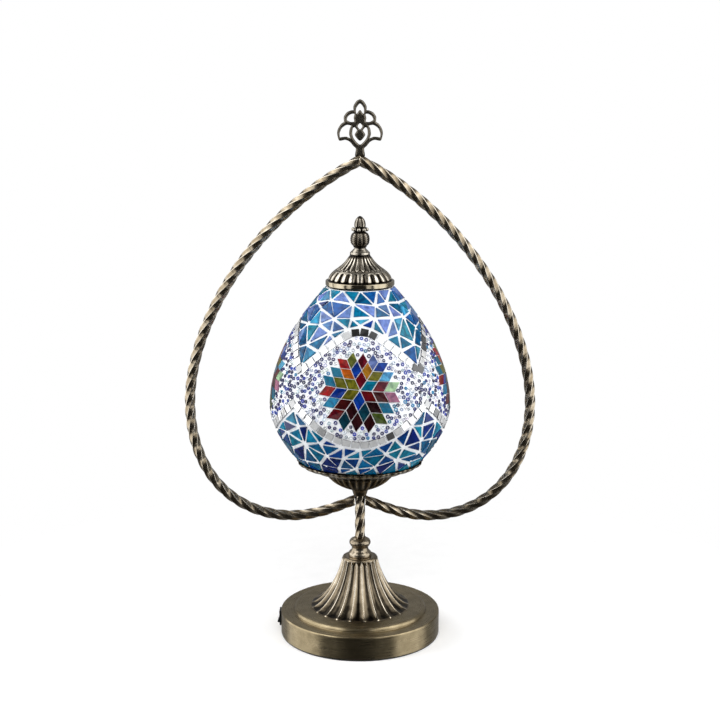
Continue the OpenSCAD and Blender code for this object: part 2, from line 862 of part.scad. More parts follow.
// At rest the lower end of the rocker stands out
module switch_rocker() {
    color("#161616")
    translate([switch_pivot_x, 0, switch_z]) rotate([0, rocker_tilt, 0]) {
        translate([0, rocker_half_w, 0]) rotate([90, 0, 0]) linear_extrude(2 * rocker_half_w) polygon([
            [-3.7, rocker_half_h], [-2.8, 0], [-3.7, -rocker_half_h], [-1.2, -rocker_half_h],
            [3.4, -1.6], [3.4, 1.6], [-1.2, rocker_half_h]
        ]);
        translate([0, 4.1, 0]) rotate([90, 0, 0]) cylinder(h = 8.2, r = rocker_pin_r, $fn = 32);
    }
}

module switch_terminals() {
    color("goldenrod")
    for (z = [switch_z - 2.6, switch_z + 2.6])
        translate([-base_r + 12 + gap, -2, z - 0.4]) cube([6, 4, 0.8]);
}

// ---------- battery case ----------

module battery_tray() {
    color("#1c1c1c")
    difference() {
        translate([tray_x0, -tray_y, felt_t]) cube([tray_x1 - tray_x0, 2 * tray_y, 17.7]);
        translate([tray_x0 + tray_wall, -tray_y + tray_wall, 0])
            cube([tray_x1 - tray_x0 - 2 * tray_wall, 2 * (tray_y - tray_wall), 17.8]);
        for (s = [1, -1])
            translate([door_hinge_x, s * (tray_y - 0.55), door_hinge_z]) rotate([90, 0, 0])
                cylinder(h = 1.5, r = door_pin_r + 0.05, center = true, $fn = 32);
    }
}

module at_cells() {
    for (i = [-1:1])
        translate([cell_mid_x + i * cell_pitch, 0, cell_z]) rotate([0, 0, i == 0 ? 180 : 0]) children();
}

module battery_cells() {
    color("darkorange")
    at_cells() rotate([90, 0, 0]) {
        translate([0, 0, -cell_l / 2]) cylinder(h = cell_l - 1, d = cell_d);
        translate([0, 0, cell_l / 2 - 1.1]) cylinder(h = 1.1, d = 5.4);
    }
}

module battery_contacts() {
    color(steel)
    at_cells() for (s = [-1, 1])
        translate([-5, s * (tray_y - tray_wall - 0.3) - 0.2, -5]) cube([10, 0.4, 10]);
}

// Each spring is drawn as its separate turns
module battery_springs() {
    color(steel)
    at_cells() for (k = [0:1])
        translate([0, cell_l / 2 + 0.55 + k * 0.6, 0]) rotate([90, 0, 0])
            rotate_extrude($fn = 32) translate([3.6 + 0.5 * k, 0]) circle(r = 0.25, $fn = 16);
}

module battery_door() {
    color("#1c1c1c") {
        difference() {
            union() {
                translate([door_hinge_x, -tray_y + 1.5, door_z])
                    cube([tray_x1 - 1.5 - door_hinge_x, 2 * tray_y - 3, door_t]);
                translate([door_hinge_x, tray_y - 1.5, door_hinge_z]) rotate([90, 0, 0])
                    cylinder(h = 2 * tray_y - 3, r = 1.2, $fn = 32);
            }
            for (k = [0:2]) translate([50 + 1.8 * k, -8, door_z - cut]) cube([0.9, 16, cut + 0.5]);
        }
        translate([door_hinge_x, tray_y - 0.4, door_hinge_z]) rotate([90, 0, 0])
            cylinder(h = 2 * tray_y - 0.8, r = door_pin_r, $fn = 32);
    }
}

// ---------- wires ----------

module wire_live() {
    color("red") wire([
        [-base_r + 18.2, 1, 15], [-42, 1, 15.2], [-30, 1, 15.2], [-20, 1, 15], [-12, 0.6, 14],
        [-6, 0, 10.5], [-2.6, 0, 9.2], [-1, 0, 11], [-0.9, 0, 16], [-0.9, 0, 50],
        [-0.9, 0, 100], [-0.9, 0, 148.5]
    ], wire_r);
}

module wire_return() {
    color("black") wire([
        [11.3, 3, 10], [8, 3, 9.6], [4, 1.6, 8.6], [1.6, 0.3, 9.4], [0.9, 0, 12], [0.9, 0, 18],
        [0.9, 0, 50], [0.9, 0, 100], [0.9, 0, 148.5]
    ], wire_r);
}

module wire_switch() {
    color("red") wire([
        [11.3, -8, 12], [8, -8, 13.6], [2, -9, 14.8], [-8, -9.4, 15], [-20, -7, 15], [-36, -3, 14.6],
        [-42, -2, 12], [-base_r + 20, -1, 10.2], [-base_r + 18.2, -1, 9.8]
    ], wire_r);
}

felt_pad();
base_cover();
cover_posts();
cover_screws();
base_pan();
ballast_weight();
base_washer();
base_nut();
flute_cone();
neck_ferrule();
stem();
frame_rod_left();
frame_rod_right();
palmette();
cup_bowl();
brim_dish();
cup_washer();
cup_nut();
globe_seal();
globe_glass();
grout_skin();
bead_belt();
seed_beads();
mirror_tiles();
star_tiles_red();
star_tiles_amber();
star_tiles_blue();
upper_tiles_teal();
upper_tiles_blue();
upper_tiles_lilac();
lower_tiles_teal();
lower_tiles_navy();
socket_base();
socket_shell();
socket_thread();
socket_contact();
bulb_glass();
bulb_collar();
bulb_screw_shell();
bulb_tip_contact();
bulb_light_pipe();
cap_collar();
cap_dome();
cap_knob();
cap_stud();
cap_nut();
cap_spring();
switch_housing();
switch_rocker();
switch_terminals();
battery_tray();
battery_cells();
battery_contacts();
battery_springs();
battery_door();
wire_live();
wire_return();
wire_switch();
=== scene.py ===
"""The looks of a mosaic glass table lamp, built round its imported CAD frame.

Shapes are given in millimetres and become metres in piece(). Z is up and the lamp faces -Y.
"""

import math
import random

import bpy
import numpy as np
from mathutils.geometry import delaunay_2d_cdt
from numpy.linalg import norm
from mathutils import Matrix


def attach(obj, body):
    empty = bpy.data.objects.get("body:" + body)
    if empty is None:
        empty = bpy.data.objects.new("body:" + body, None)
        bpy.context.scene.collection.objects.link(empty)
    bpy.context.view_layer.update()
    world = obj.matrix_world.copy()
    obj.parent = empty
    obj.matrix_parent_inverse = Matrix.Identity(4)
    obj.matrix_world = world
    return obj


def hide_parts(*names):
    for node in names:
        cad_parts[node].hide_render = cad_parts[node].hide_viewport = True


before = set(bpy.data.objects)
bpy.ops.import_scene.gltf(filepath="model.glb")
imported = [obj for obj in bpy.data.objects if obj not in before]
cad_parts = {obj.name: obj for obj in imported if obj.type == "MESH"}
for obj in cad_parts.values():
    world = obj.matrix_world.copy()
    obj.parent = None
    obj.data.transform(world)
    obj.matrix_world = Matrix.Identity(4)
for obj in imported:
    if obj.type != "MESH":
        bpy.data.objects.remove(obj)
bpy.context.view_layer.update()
mm = 0.001

# ---------- camera ----------

CAMERA_DISTANCE = 1180 * mm
CAMERA_HEIGHT = 481 * mm
CAMERA_PITCH = 11.78
CAMERA_LENS = 73.5


def make_camera():
    data = bpy.data.cameras.new("camera")
    data.lens = CAMERA_LENS
    camera = bpy.data.objects.new("camera", data)
    camera.location = (0, -CAMERA_DISTANCE, CAMERA_HEIGHT)
    camera.rotation_euler = (math.radians(90 - CAMERA_PITCH), 0, 0)
    bpy.context.collection.objects.link(camera)
    bpy.context.scene.camera = camera


# ---------- node materials ----------

MATERIALS = {}
WHITE = (1, 1, 1, 1)


def srgb(*display):
    """A colour given as 0 to 255 display values, in the linear values that shaders use."""
    linear = [((c / 255 + 0.055) / 1.055) ** 2.4 if c > 10 else c / 255 / 12.92 for c in display]
    return (*linear, 1.0)


def put(tree, socket, value):
    """Joins a socket to another one, or sets its own number or colour."""
    if isinstance(value, bpy.types.NodeSocket):
        tree.links.new(value, socket)
    else:
        socket.default_value = value


def add_node(tree, kind, inputs=None, **settings):
    made = tree.nodes.new("ShaderNode" + kind)
    for key, value in settings.items():
        setattr(made, key, value)
    for socket, value in (inputs or {}).items():
        put(tree, made.inputs[socket], value)
    return made


class Material:
    """A node material with short ways to add and join nodes, kept in MATERIALS by its name."""

    def __init__(self, name, **constants):
        self.material = bpy.data.materials.new(name)
        self.material.use_nodes = True
        self.tree = self.material.node_tree
        self.shader = self.tree.nodes["Principled BSDF"]
        for socket, value in constants.items():
            self.set(socket.replace("_", " "), value)
        self.place = self.node("TexCoord").outputs["Object"]
        MATERIALS[name] = self.material

    def node(self, kind, inputs=None, **settings):
        return add_node(self.tree, kind, inputs, **settings)

    def set(self, socket, value):
        put(self.tree, self.shader.inputs[socket], value)

    def math(self, operation, a, b=0.0):
        return self.node("Math", {0: a, 1: b}, operation=operation).outputs[0]

    def noise(self, scale, detail=3.0, place=None, distortion=0.0):
        inputs = {"Vector": place or self.place, "Scale": scale, "Detail": detail}
        return self.node("TexNoise", inputs | {"Distortion": distortion}).outputs[0]

    def ramp(self, value, low, high, out_low=0.0, out_high=1.0):
        inputs = {0: value, 1: low, 2: high, 3: out_low, 4: out_high}
        return self.node("MapRange", inputs).outputs[0]

    def mix(self, factor, a, b, blend="MIX"):
        inputs = {0: factor, 6: a, 7: b}
        return self.node("Mix", inputs, data_type="RGBA", blend_type=blend).outputs[2]

    def bump(self, height, strength, distance):
        inputs = {"Height": height, "Strength": strength, "Distance": distance}
        self.set("Normal", self.node("Bump", inputs).outputs[0])

    def attribute(self, name, output="Fac"):
        return self.node("Attribute", attribute_name=name).outputs[output]

    def rings(self, fine, round_scale):
        """Coordinates that run in circles about Z, for the marks of a turning brush."""
        x, y, z = self.node("SeparateXYZ", {0: self.place}).outputs
        square = self.math("ADD", self.math("MULTIPLY", x, x), self.math("MULTIPLY", y, y))
        radius = self.math("SQRT", square)
        turn = self.math("MULTIPLY", self.math("ARCTAN2", y, x), round_scale)
        parts = {0: self.math("MULTIPLY", radius, fine), 1: turn, 2: self.math("MULTIPLY", z, fine)}
        return self.node("CombineXYZ", parts).outputs[0]


def brass(name, tones, rough, relief=True, brushed=False):
    """Antique brass: dark patina low in the relief, worn bright metal on the ridges. On the flute cone the
    relief also holds a painted dark reflection.
    """
    m = Material(name, Metallic=1.0)
    dark, middle, bright = (srgb(*tone) for tone in tones)
    cloud = m.noise(140.0, 5.0)
    speck = m.noise(900.0, 2.0)
    if relief:
        stain = m.math("MULTIPLY", m.math("SUBTRACT", cloud, 0.5), 0.45)
        height = m.math("ADD", m.attribute("relief"), stain)
    else:
        height = m.ramp(cloud, 0.25, 0.75, 0.42, 0.8)
    colour = m.mix(m.ramp(height, 0.08, 0.55), dark, middle)
    colour = m.mix(m.ramp(height, 0.55, 1.0), colour, bright)
    colour = m.mix(m.ramp(speck, 0.62, 0.78, 0.0, 0.35), colour, dark)
    shine = m.ramp(height, 0.1, 0.95, *rough)
    grain = m.noise(1400.0, 2.0)
    if brushed:
        marks = m.noise(1.0, 3.0, place=m.rings(2200.0, 3.0))
        shine = m.math("ADD", shine, m.ramp(marks, 0.3, 0.7, -0.06, 0.1))
        colour = m.mix(m.ramp(marks, 0.35, 0.75, 0.0, 0.3), colour, bright)
        grain = marks
        m.set("Anisotropic", 0.75)
        m.set("Anisotropic Rotation", 0.25)
        m.set("Tangent", m.node("Tangent", direction_type="RADIAL", axis="Z").outputs[0])
    m.set("Base Color", colour)
    m.set("Roughness", shine)
    m.bump(grain, 0.25, 0.00006)


def tile_glass():
    """Hand-cut stained glass with its own tints, streaks and a slightly rippled, glossy face."""
    m = Material("tile_glass", Specular_IOR_Level=0.22)
    streak = m.noise(120.0, 5.0, distortion=1.6)
    fleck = m.noise(700.0, 3.0)
    tint = m.attribute("tint", "Color")
    shift = m.ramp(m.noise(75.0, 2.0, distortion=0.8), 0.3, 0.7, 0.482, 0.506)
    tint = m.node("HueSaturation", {"Hue": shift, "Color": tint}).outputs[0]
    deep = m.mix(1.0, tint, (0.4, 0.5, 0.6, 1), "MULTIPLY")
    light = m.mix(1.0, tint, (1.2, 1.35, 1.4, 1), "MULTIPLY")
    colour = m.mix(m.ramp(streak, 0.36, 0.64), deep, light)
    pale = m.mix(0.05, tint, (0.7, 0.85, 0.95, 1))
    m.set("Base Color", m.mix(m.ramp(fleck, 0.6, 0.85, 0.0, 0.5), colour, pale))
    m.set("Roughness", m.ramp(fleck, 0.3, 0.7, 0.08, 0.16))
    m.bump(m.noise(230.0, 2.0), 0.3, 0.0003)


def bead_glass(name, clear):
    m = Material(name, Roughness=0.08, Specular_IOR_Level=0.35, Transmission_Weight=clear)
    cloud = m.noise(800.0, 2.0)
    tint = m.attribute("tint", "Color")
    m.set("Base Color", m.mix(m.ramp(cloud, 0.3, 0.7, 0.0, 0.1), tint, (0.9, 0.95, 1.0, 1)))


def mirror_glass():
    """A smeared silver face with dark cut edges."""
    m = Material("mirror_tile", Metallic=0.45)
    smear = m.noise(420.0, 4.0)
    shade = m.mix(m.ramp(smear, 0.35, 0.7), (0.88, 0.9, 0.92, 1), WHITE)
    face = m.mix(1.0, m.attribute("tint", "Color"), shade, "MULTIPLY")
    edge = m.ramp(m.attribute("relief"), 0.3, 0.9)
    m.set("Base Color", m.mix(edge, (0.04, 0.04, 0.05, 1), face))
    m.set("Roughness", m.ramp(smear, 0.3, 0.75, 0.04, 0.16))
    m.bump(m.noise(260.0, 2.0), 0.2, 0.0003)


def grout():
    m = Material("white_grout", Specular_IOR_Level=0.25)
    grain = m.noise(2600.0, 4.0)
    patch = m.noise(90.0, 3.0)
    m.set("Base Color", m.mix(m.ramp(patch, 0.3, 0.7), srgb(236, 239, 243), srgb(248, 250, 252)))
    m.set("Roughness", m.ramp(grain, 0.3, 0.7, 0.55, 0.8))
    m.bump(grain, 0.4, 0.00015)


def plain(name, colour, rough=(0.3, 0.42), grain=1500.0, vary=0.25, bump=0.00005, **constants):
    """A simple surface that still has grain: moulded plastic, rubber, zinc plate, iron or felt."""
    m = Material(name, **constants)
    fine = m.noise(grain, 4.0)
    patch = m.noise(grain / 12, 3.0)
    light = srgb(*colour)
    dark = tuple(c * (1 - vary) for c in light[:3]) + (1.0,)
    m.set("Base Color", m.mix(m.ramp(patch, 0.3, 0.7), dark, light))
    m.set("Roughness", m.ramp(fine, 0.3, 0.7, *rough))
    m.bump(fine, 0.5, bump)


BRASS_TONES = ((30, 26, 20), (140, 127, 106), (234, 225, 208))
SPUN_TONES = ((86, 77, 57), (136, 123, 96), (180, 165, 134))
LATHED_TONES = ((30, 26, 20), (146, 134, 115), (228, 217, 200))
PEWTER_TONES = ((14, 12, 10), (92, 85, 74), (232, 224, 208))
POLISHED_TONES = ((70, 64, 52), (160, 150, 128), (214, 204, 182))
DULL_TONES = ((40, 37, 32), (82, 77, 68), (136, 129, 116))


def make_materials():
    brass("antique_brass", BRASS_TONES, (0.34, 0.18))
    brass("brushed_brass", SPUN_TONES, (0.36, 0.26), relief=False, brushed=True)
    brass("turned_brass", LATHED_TONES, (0.34, 0.18), relief=False)
    brass("pewter_brass", PEWTER_TONES, (0.35, 0.15))
    brass("polished_pewter", POLISHED_TONES, (0.2, 0.1), relief=False)
    brass("dark_pewter", DULL_TONES, (0.45, 0.3))
    plain("zinc_steel", (190, 190, 185), (0.25, 0.42), 900.0, 0.15, Metallic=1.0)
    plain("contact_brass", (214, 180, 96), (0.2, 0.35), Metallic=1.0)
    plain("cast_ballast", (70, 68, 66), (0.6, 0.8), 500.0, 0.35, 0.0004, Metallic=0.7)
    tile_glass()
    bead_glass("bead_glass", 0.0)
    bead_glass("clear_bead", 0.5)
    mirror_glass()
    clear = {"Transmission_Weight": 1.0, "IOR": 1.5}
    frosted = {"Transmission_Weight": 0.7, "IOR": 1.45}
    plain("blown_glass", (236, 244, 246), (0.03, 0.1), 300.0, 0.03, 0.0001, **clear)
    plain("bulb_glass", (248, 246, 240), (0.3, 0.45), 900.0, 0.03, **frosted)
    grout()
    plain("black_plastic", (24, 24, 25))
    plain("black_felt", (22, 22, 23), (0.85, 1.0), 2600.0, 0.5, 0.0004, Sheen_Weight=0.4)
    plain("black_rubber", (28, 28, 28), (0.6, 0.8))
    plain("cell_jacket", (206, 120, 40), (0.22, 0.32))
    plain("holder_phenolic", (30, 27, 26), (0.2, 0.34))
    plain("bulb_white", (232, 231, 226), (0.3, 0.45), 1200.0, 0.05)
    plain("light_pipe", (238, 196, 96), (0.3, 0.4), 900.0, 0.1)
    plain("wire_red", (170, 26, 24))
    plain("wire_black", (26, 26, 26))


# ---------- mesh building ----------


def piece(
    name, material, body, verts, faces, slot=None, replaced=None, smooth=True, relief=None, tint=None
):
    """A mesh in millimetres that rides on a body. Its name says which CAD node it replaces, unless told
    otherwise. The slot argument is not used."""
    replaced = [name] if replaced is None else replaced
    slot = slot or material
    mesh = bpy.data.meshes.new(name)
    mesh.from_pydata([tuple(float(c) * mm for c in v) for v in verts], [], faces)
    if relief is not None:
        values = np.asarray(relief, float).ravel()
        mesh.attributes.new("relief", "FLOAT", "POINT").data.foreach_set("value", values)
    if tint is not None:
        values = np.asarray(tint, float).ravel()
        mesh.color_attributes.new("tint", "FLOAT_COLOR", "POINT").data.foreach_set("color", values)
    mesh.materials.append(MATERIALS[material])
    mesh.polygons.foreach_set("use_smooth", [smooth] * len(mesh.polygons))
    made = bpy.data.objects.new(name, mesh)
    bpy.context.collection.objects.link(made)
    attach(made, body)
    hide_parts(*replaced)


def grid_faces(rings, count, closed=False, start=0):
    """Quads over rings of equal point counts, each ring a closed loop."""
    faces = []
    for i in range(rings if closed else rings - 1):
        low, high = start + i * count, start + (i + 1) % rings * count
        faces += [(low + j, low + (j + 1) % count, high + (j + 1) % count, high + j) for j in range(count)]
    return faces


def capped(rings, count, start=0):
    """Faces of a closed loft: its sides and its two end loops."""
    first = tuple(range(start, start + count))[::-1]
    last = tuple(range(start + (rings - 1) * count, start + rings * count))
    return grid_faces(rings, count, start=start) + [first, last]


def bezier(points, count):
    a, b, c, d = np.array(points, float)
    t = np.linspace(0, 1, count)[:, None]
    return (1 - t) ** 3 * a + 3 * (1 - t) ** 2 * t * b + 3 * (1 - t) * t * t * c + t**3 * d


def joined(*curves):
    """Curves end to end, each without its first point where that repeats the last one."""
    parts = [np.array(curves[0], float)]
    for curve in curves[1:]:
        curve = np.array(curve, float)
        repeat = np.allclose(curve[0], parts[-1][-1])
        parts.append(curve[1:] if repeat else curve)
    return np.vstack(parts)


def evened(points, step):
    """A curve resampled to even steps, and the length run at each of its points."""
    run = np.r_[0, np.cumsum(norm(np.diff(points, axis=0), axis=1))]
    marks = np.linspace(0, run[-1], max(2, int(round(run[-1] / step)) + 1))
    return np.stack([np.interp(marks, run, points[:, k]) for k in range(points.shape[1])], 1), marks


def turns(count):
    """Even angles round a whole turn."""
    return np.linspace(0, math.tau, count, endpoint=False)


def ease(value, low, high):
    """0 up to low, 1 from high on, and smooth between them."""
    t = np.clip((value - low) / (high - low), 0, 1)
    return t * t * (3 - 2 * t)


def turned(name, profile, around, relief=None, step=0.5, material="antique_brass", body="lamp", slot=None):
    """A closed turned body. relief(radius, height, angle) gives how far each point is pushed in
    or out, in millimetres, and how high it lies in the pattern, from 0 to 1."""
    line, _ = evened(np.array(profile, float), step)
    r, z, a = np.broadcast_arrays(line[:, :1], line[:, 1:], turns(around)[None])
    push, height = relief(r, z, a) if relief else (0 * r, 0 * r + 0.75)
    r = r + push
    verts = np.stack([r * np.cos(a), r * np.sin(a), z], -1).reshape(-1, 3)
    faces = grid_faces(len(line), around, True)
    piece(name, material, body, verts, faces, slot, relief=height)


def in_flute(angle, count, shift=0.0):
    """Place across a flute, from -1 at one ridge through 0 in the middle to 1 at the next ridge."""
    return 2 * ((angle * count / math.tau + shift) % 1.0) - 1


# ---------- the twisted frame ----------

ROD_R = 4.37
ROD_HOLLOW = 0.6
TWIST_LEAD = 71.0
ROD_INNER = [(4.3, 115.2), (16, 111.5), (34, 102), (57.5, 102)]
ROD_LOBE = [(57.5, 102), (101.5, 102), (140.2, 135), (140.2, 197)]
ROD_UPPER = [(140.2, 197), (140.2, 265.2), (84, 355.2), (0, 397.6)]
ROD_STEP = 1.4
ROD_AROUND = 72
MITRE_LENGTH = 12
STEM_TWIST = (82.8, 119.6)


def facets(turn):
    """How far the hollow faces of a hexagonal bar lie under its ridges, and how worn each point is."""
    across = np.abs(((turn / math.pi * 3) % 1.0) * 2 - 1)
    return -ROD_HOLLOW * (1 - across**2), 0.57 + 0.38 * across**8


def frame_rod(name, side):
    """A twisted bar along one half of the spade, its ends cut upright where the halves meet."""
    path = joined(*[bezier(curve, 160) for curve in (ROD_INNER, ROD_LOBE, ROD_UPPER)])
    line, run = evened(path, ROD_STEP)
    count = len(line)
    flat = np.zeros(count)
    middle = np.stack([side * line[:, 0], flat, line[:, 1]], 1)
    ahead = np.gradient(middle, axis=0)
    ahead /= norm(ahead, axis=1)[:, None]
    across = np.stack([ahead[:, 2], flat, -ahead[:, 0]], 1)
    push, worn = facets(turns(ROD_AROUND))
    radius = (ROD_R + push)[None]
    beta = turns(ROD_AROUND)[None] + math.tau * run[:, None] / TWIST_LEAD
    offset = across[:, None] * (radius * np.cos(beta))[..., None]
    offset[..., 1] += radius * np.sin(beta)
    across_x = ahead[:, None, 0]
    lean = -offset[..., 0] / np.where(np.abs(across_x) < 0.1, 0.1, across_x)
    near_end = (1 - np.minimum(run, run[-1] - run) / MITRE_LENGTH).clip(0, 1)
    points = middle[:, None] + offset + ahead[:, None] * (lean * near_end[:, None])[..., None]
    faces = capped(count, ROD_AROUND)
    if side < 0:
        faces = [face[::-1] for face in faces]
    piece(name, "antique_brass", "lamp", points.reshape(-1, 3), faces, relief=np.tile(worn, count))


def stem():
    """Straight tube, twisted like the rods between the ferrule and the cup."""
    low, high = STEM_TWIST
    outside = [(3.9, 13), (3.9, low), (4.3, low + 0.2), (4.3, high - 0.2), (3.9, high), (3.9, 149)]
    profile = [(2.4, 13)] + outside + [(2.4, 149), (2.4, 13)]

    def relief(r, z, a):
        push, worn = facets(a - math.tau * (z - low) / TWIST_LEAD)
        twisted = (r > 3.95) & (z > low) & (z < high)
        return push * twisted, np.where(twisted, worn, 0.5)

    turned("stem", profile, ROD_AROUND, relief, 0.6)


# ---------- fluted castings ----------

CONE_CURVE = [(41.5, 24.2), (30, 28.2), (19, 47), (15, 65)]
CONE_FLUTES = 22
CONE_SHIFT = 0.18
CUP_CURVE = [(8.4, 125.8), (16.5, 128.2), (27.6, 133.6), (30.2, 143.4)]
CUP_FLUTES = 30
BRIM_CURVE = [(29.4, 143.2), (37, 144.4), (48, 145.6), (52, 150.2)]
BRIM_LOBES = 20
BRIM_THICK = 1.3
CAP_CURVE = [(26.2, 301.4), (24, 310.5), (13.5, 310.6), (8.2, 322.6)]
CAP_PETALS = 22
COLLAR = (297.5, 301.3)
ACORN_CURVE = [(4.3, 343.2), (5.6, 347.5), (3.4, 352.2), (0.3, 353.2)]


def flute_cone():
    """Concave channels between sharp ridges, open at the foot and round-headed at the shoulder."""
    outside = joined([(41.5, 23.4)], bezier(CONE_CURVE, 60), [(14.4, 66.2), (13.6, 66.8)])
    bore = [(4, 66.8), (4, 61.5), (9, 61.5), (11, 60), (13, 52), (17.5, 40), (25, 30), (34, 23.4)]
    wall = [(23.4, 38), (30, 27), (40, 20), (52, 15.5), (60, 13), (66, 12)]

    def relief(r, z, a):
        across = np.abs(in_flute(a, CONE_FLUTES, CONE_SHIFT))
        outer = (r > np.interp(z, *zip(*wall))) & (z > 23.5)
        fade = ease(z, 23.6, 25) * (1 - ease(z - 2.2 * across**2, 62.2, 64.8))
        cut = (1 - across**2) ** 0.8 * outer
        # Channel middles are darker: partly patina in the hollows, partly a painted dark reflection. The
        # flanks are darker towards the foot, also a painted dark reflection.
        groove_patina_and_reflection = np.exp(-((across / 0.34) ** 2))
        level_with_painted_dark_foot = 0.2 + 0.4 * ease(z, 26, 44)
        height = level_with_painted_dark_foot + (1 - level_with_painted_dark_foot) * across**10 - 0.45 * groove_patina_and_reflection * level_with_painted_dark_foot / 0.6
        height = np.where(z > 65.4, 0.45, height)
        return -(0.4 + 0.065 * r) * cut * (0.1 + 0.9 * fade), np.where(outer, height, 0.6)

    turned("flute_cone", joined(outside, bore, [(41.5, 23.4)]), CONE_FLUTES * 16, relief, 0.7)


def cup_bowl():
    outside = joined([(4, 119.7), (5.2, 119.7), (5.8, 121.4), (6.5, 123.8)], bezier(CUP_CURVE, 30))
    inside = [(29.2, 143.4), (28.9, 139.8), (24, 137), (17.5, 132.6), (11, 129.8), (4, 128.6)]
    wall = [(126, 8.2), (128.3, 12.6), (132.1, 18.6), (137, 25.2), (140, 29), (143.4, 29.6)]

    def relief(r, z, a):
        across = np.abs(in_flute(a, CUP_FLUTES))
        outer = (r > np.interp(z, *zip(*wall))) & (z > 125.6)
        fade = ease(z, 125.6, 127) * (1 - 0.85 * ease(z, 137.4, 139.6))
        height = 0.1 + 0.85 * across**5
        return -0.075 * r * (1 - across**2) * outer * fade, np.where(z < 126, 0.3, height)

    turned("cup_bowl", joined(outside, inside, [(4, 119.7)]), CUP_FLUTES * 12, relief)


def brim_dish():
    """Scalloped dish with a row of raised petals between its foot and a beaded edge."""
    under = bezier(BRIM_CURVE, 50)
    over = under[::-1] + (0, BRIM_THICK)

    def relief(r, z, a):
        out = (r - BRIM_CURVE[0][0]) / (BRIM_CURVE[3][0] - BRIM_CURVE[0][0])
        lobe = np.abs(np.cos(a * BRIM_LOBES / 2))
        wave = 0.7 * (2 * lobe - 1) * out
        petal = lobe**0.6 * ease(out, 0.15, 0.4) * (1 - ease(out, 0.72, 0.8))
        bead = np.abs(np.sin(a * BRIM_LOBES * 1.5)) ** 0.7 * ease(out, 0.85, 0.92)
        below = z < np.interp(r, under[:, 0], under[:, 1] + BRIM_THICK / 2)
        carved = (0.75 * petal + 0.6 * bead - 0.75) * below * ease(out, 0.02, 0.1)
        return wave + carved, np.where(below, 0.15 + 0.8 * np.maximum(petal, bead), 0.4)

    turned("brim_dish", joined(under, over, under[:1]), BRIM_LOBES * 18, relief, 0.45)


def cap_dome():
    """Bell of two tiers of petals under a plain neck with a thin ring."""
    neck = [(8.0, 323), (8.1, 323.4), (8.1, 323.9), (7.4, 324.4), (5.2, 326.6), (4.2, 328)]
    outside = joined(CAP_CURVE[:1], bezier(CAP_CURVE, 60), neck)
    inside = [(2.1, 328), (2.1, 324.5), (6.4, 321), (10.5, 312.5), (20, 309), (24.2, 301.4)]
    wall = [(301.4, 25), (305, 24), (309.6, 20.5), (312, 13.5), (318, 7.8), (323, 7)]

    def relief(r, z, a):
        outer = (r > np.interp(z, *zip(*wall))) & (z < 322.6)
        lower = np.abs(in_flute(a, CAP_PETALS)) ** 2.6
        upper = np.abs(in_flute(a, CAP_PETALS, 0.5)) ** 2.2
        split = ease(z + 1.6 * lower, 311.2, 311.8)
        rim = ease(z - 1.2 * lower, 301.3, 302.6)
        petal = (1 - lower) * (1 - split) * rim + (1 - upper) * split * (1 - ease(z, 319, 322.4))
        lip = np.exp(-(((z + 1.6 * lower - 311.5) / 0.35) ** 2))
        height = (0.1 + 0.9 * petal - 0.25 * lip).clip(0, 1)
        sunk = -(0.072 * r) * (1 - petal) * ease(z, 301.4, 302) - 0.35 * lip
        push = sunk * outer * (1 - ease(z, 321.5, 322.6))
        return push, np.where(outer, 0.9 * height**1.8, 0.75)

    profile = joined(outside, inside, CAP_CURVE[:1])
    turned("cap_dome", profile, CAP_PETALS * 16, relief, 0.4, "pewter_brass", "cap")


def cap_collar():
    """Polished upright band with softened edges."""
    low, high = COLLAR
    foot = [(24.2, low), (27.5, low), (27.9, low + 0.15), (28, low + 0.5)]
    head = [(28, high - 0.7), (27.8, high - 0.2), (27.2, high), (24.2, high), (24.2, low)]
    turned("cap_collar", foot + head, 192, None, 0.15, "polished_pewter", "cap", "pewter_brass")


def cap_knob():
    """Leafed bulb, the band that the ring of small balls sits on, and a ribbed acorn."""
    swell = np.radians(np.linspace(-80, 68, 40))
    bulb = [(2.6 + 5.3 * math.cos(t), 334.3 + 7.2 * math.sin(t)) for t in swell]
    waist = [(4.3, 341.2), (5.4, 341.9), (5.4, 342.9), (4.3, 343.2)]
    outside = joined([(2.1, 328.1), (3.9, 328.1)], bulb, waist, bezier(ACORN_CURVE, 40))
    inside = [(0.3, 341.9), (2.1, 341.8), (2.1, 328.1)]

    def relief(r, z, a):
        leaf = np.abs(np.cos(a * 4)) * ease(z, 328.6, 331) * (1 - ease(z, 338.6, 340.8))
        veins = 0.5 + 0.5 * np.cos(z * 3.6 - 5 * np.abs(np.sin(a * 4)))
        rib = np.abs(np.cos(a * 4)) ** 0.6 * ease(z, 343.6, 345) * (1 - ease(z, 351, 352.8))
        outer = (r > 2.3) & (z > 328.5) & (z < 352.9)
        height = np.where(z > 342, 0.1 + 0.65 * rib, 0.1 + 0.4 * leaf + 0.3 * veins * leaf)
        push = np.where(z > 342, 0.7 * (rib - 1), 0.75 * (leaf - 1) + 0.3 * (veins - 1) * leaf)
        return push * outer, height

    turned("cap_knob", joined(outside, inside), 96, relief, 0.3, "pewter_brass", "cap")


def knob_balls(count=8, radius=1.55, ring=5.6, height=342.4, turn=-0.16):
    """The ring of small balls round the finial's waist."""
    rows, around = 11, 18
    tilt = np.linspace(-math.pi / 2, math.pi / 2, rows)[:, None]
    spin = turns(around)[None]
    parts = [np.cos(tilt) * np.cos(spin), np.cos(tilt) * np.sin(spin), np.sin(tilt) + 0 * spin]
    ball = np.stack(parts, -1).reshape(-1, 3) * radius
    verts, faces = [], []
    for t in turns(count) + turn:
        faces += capped(rows, around, len(verts))
        verts += (ball + (math.sin(t) * ring, -math.cos(t) * ring, height)).tolist()
    relief = np.full(len(verts), 0.75)
    piece("cap_knob_balls", "pewter_brass", "cap", verts, faces, replaced=[], relief=relief)


# ---------- palmette ----------

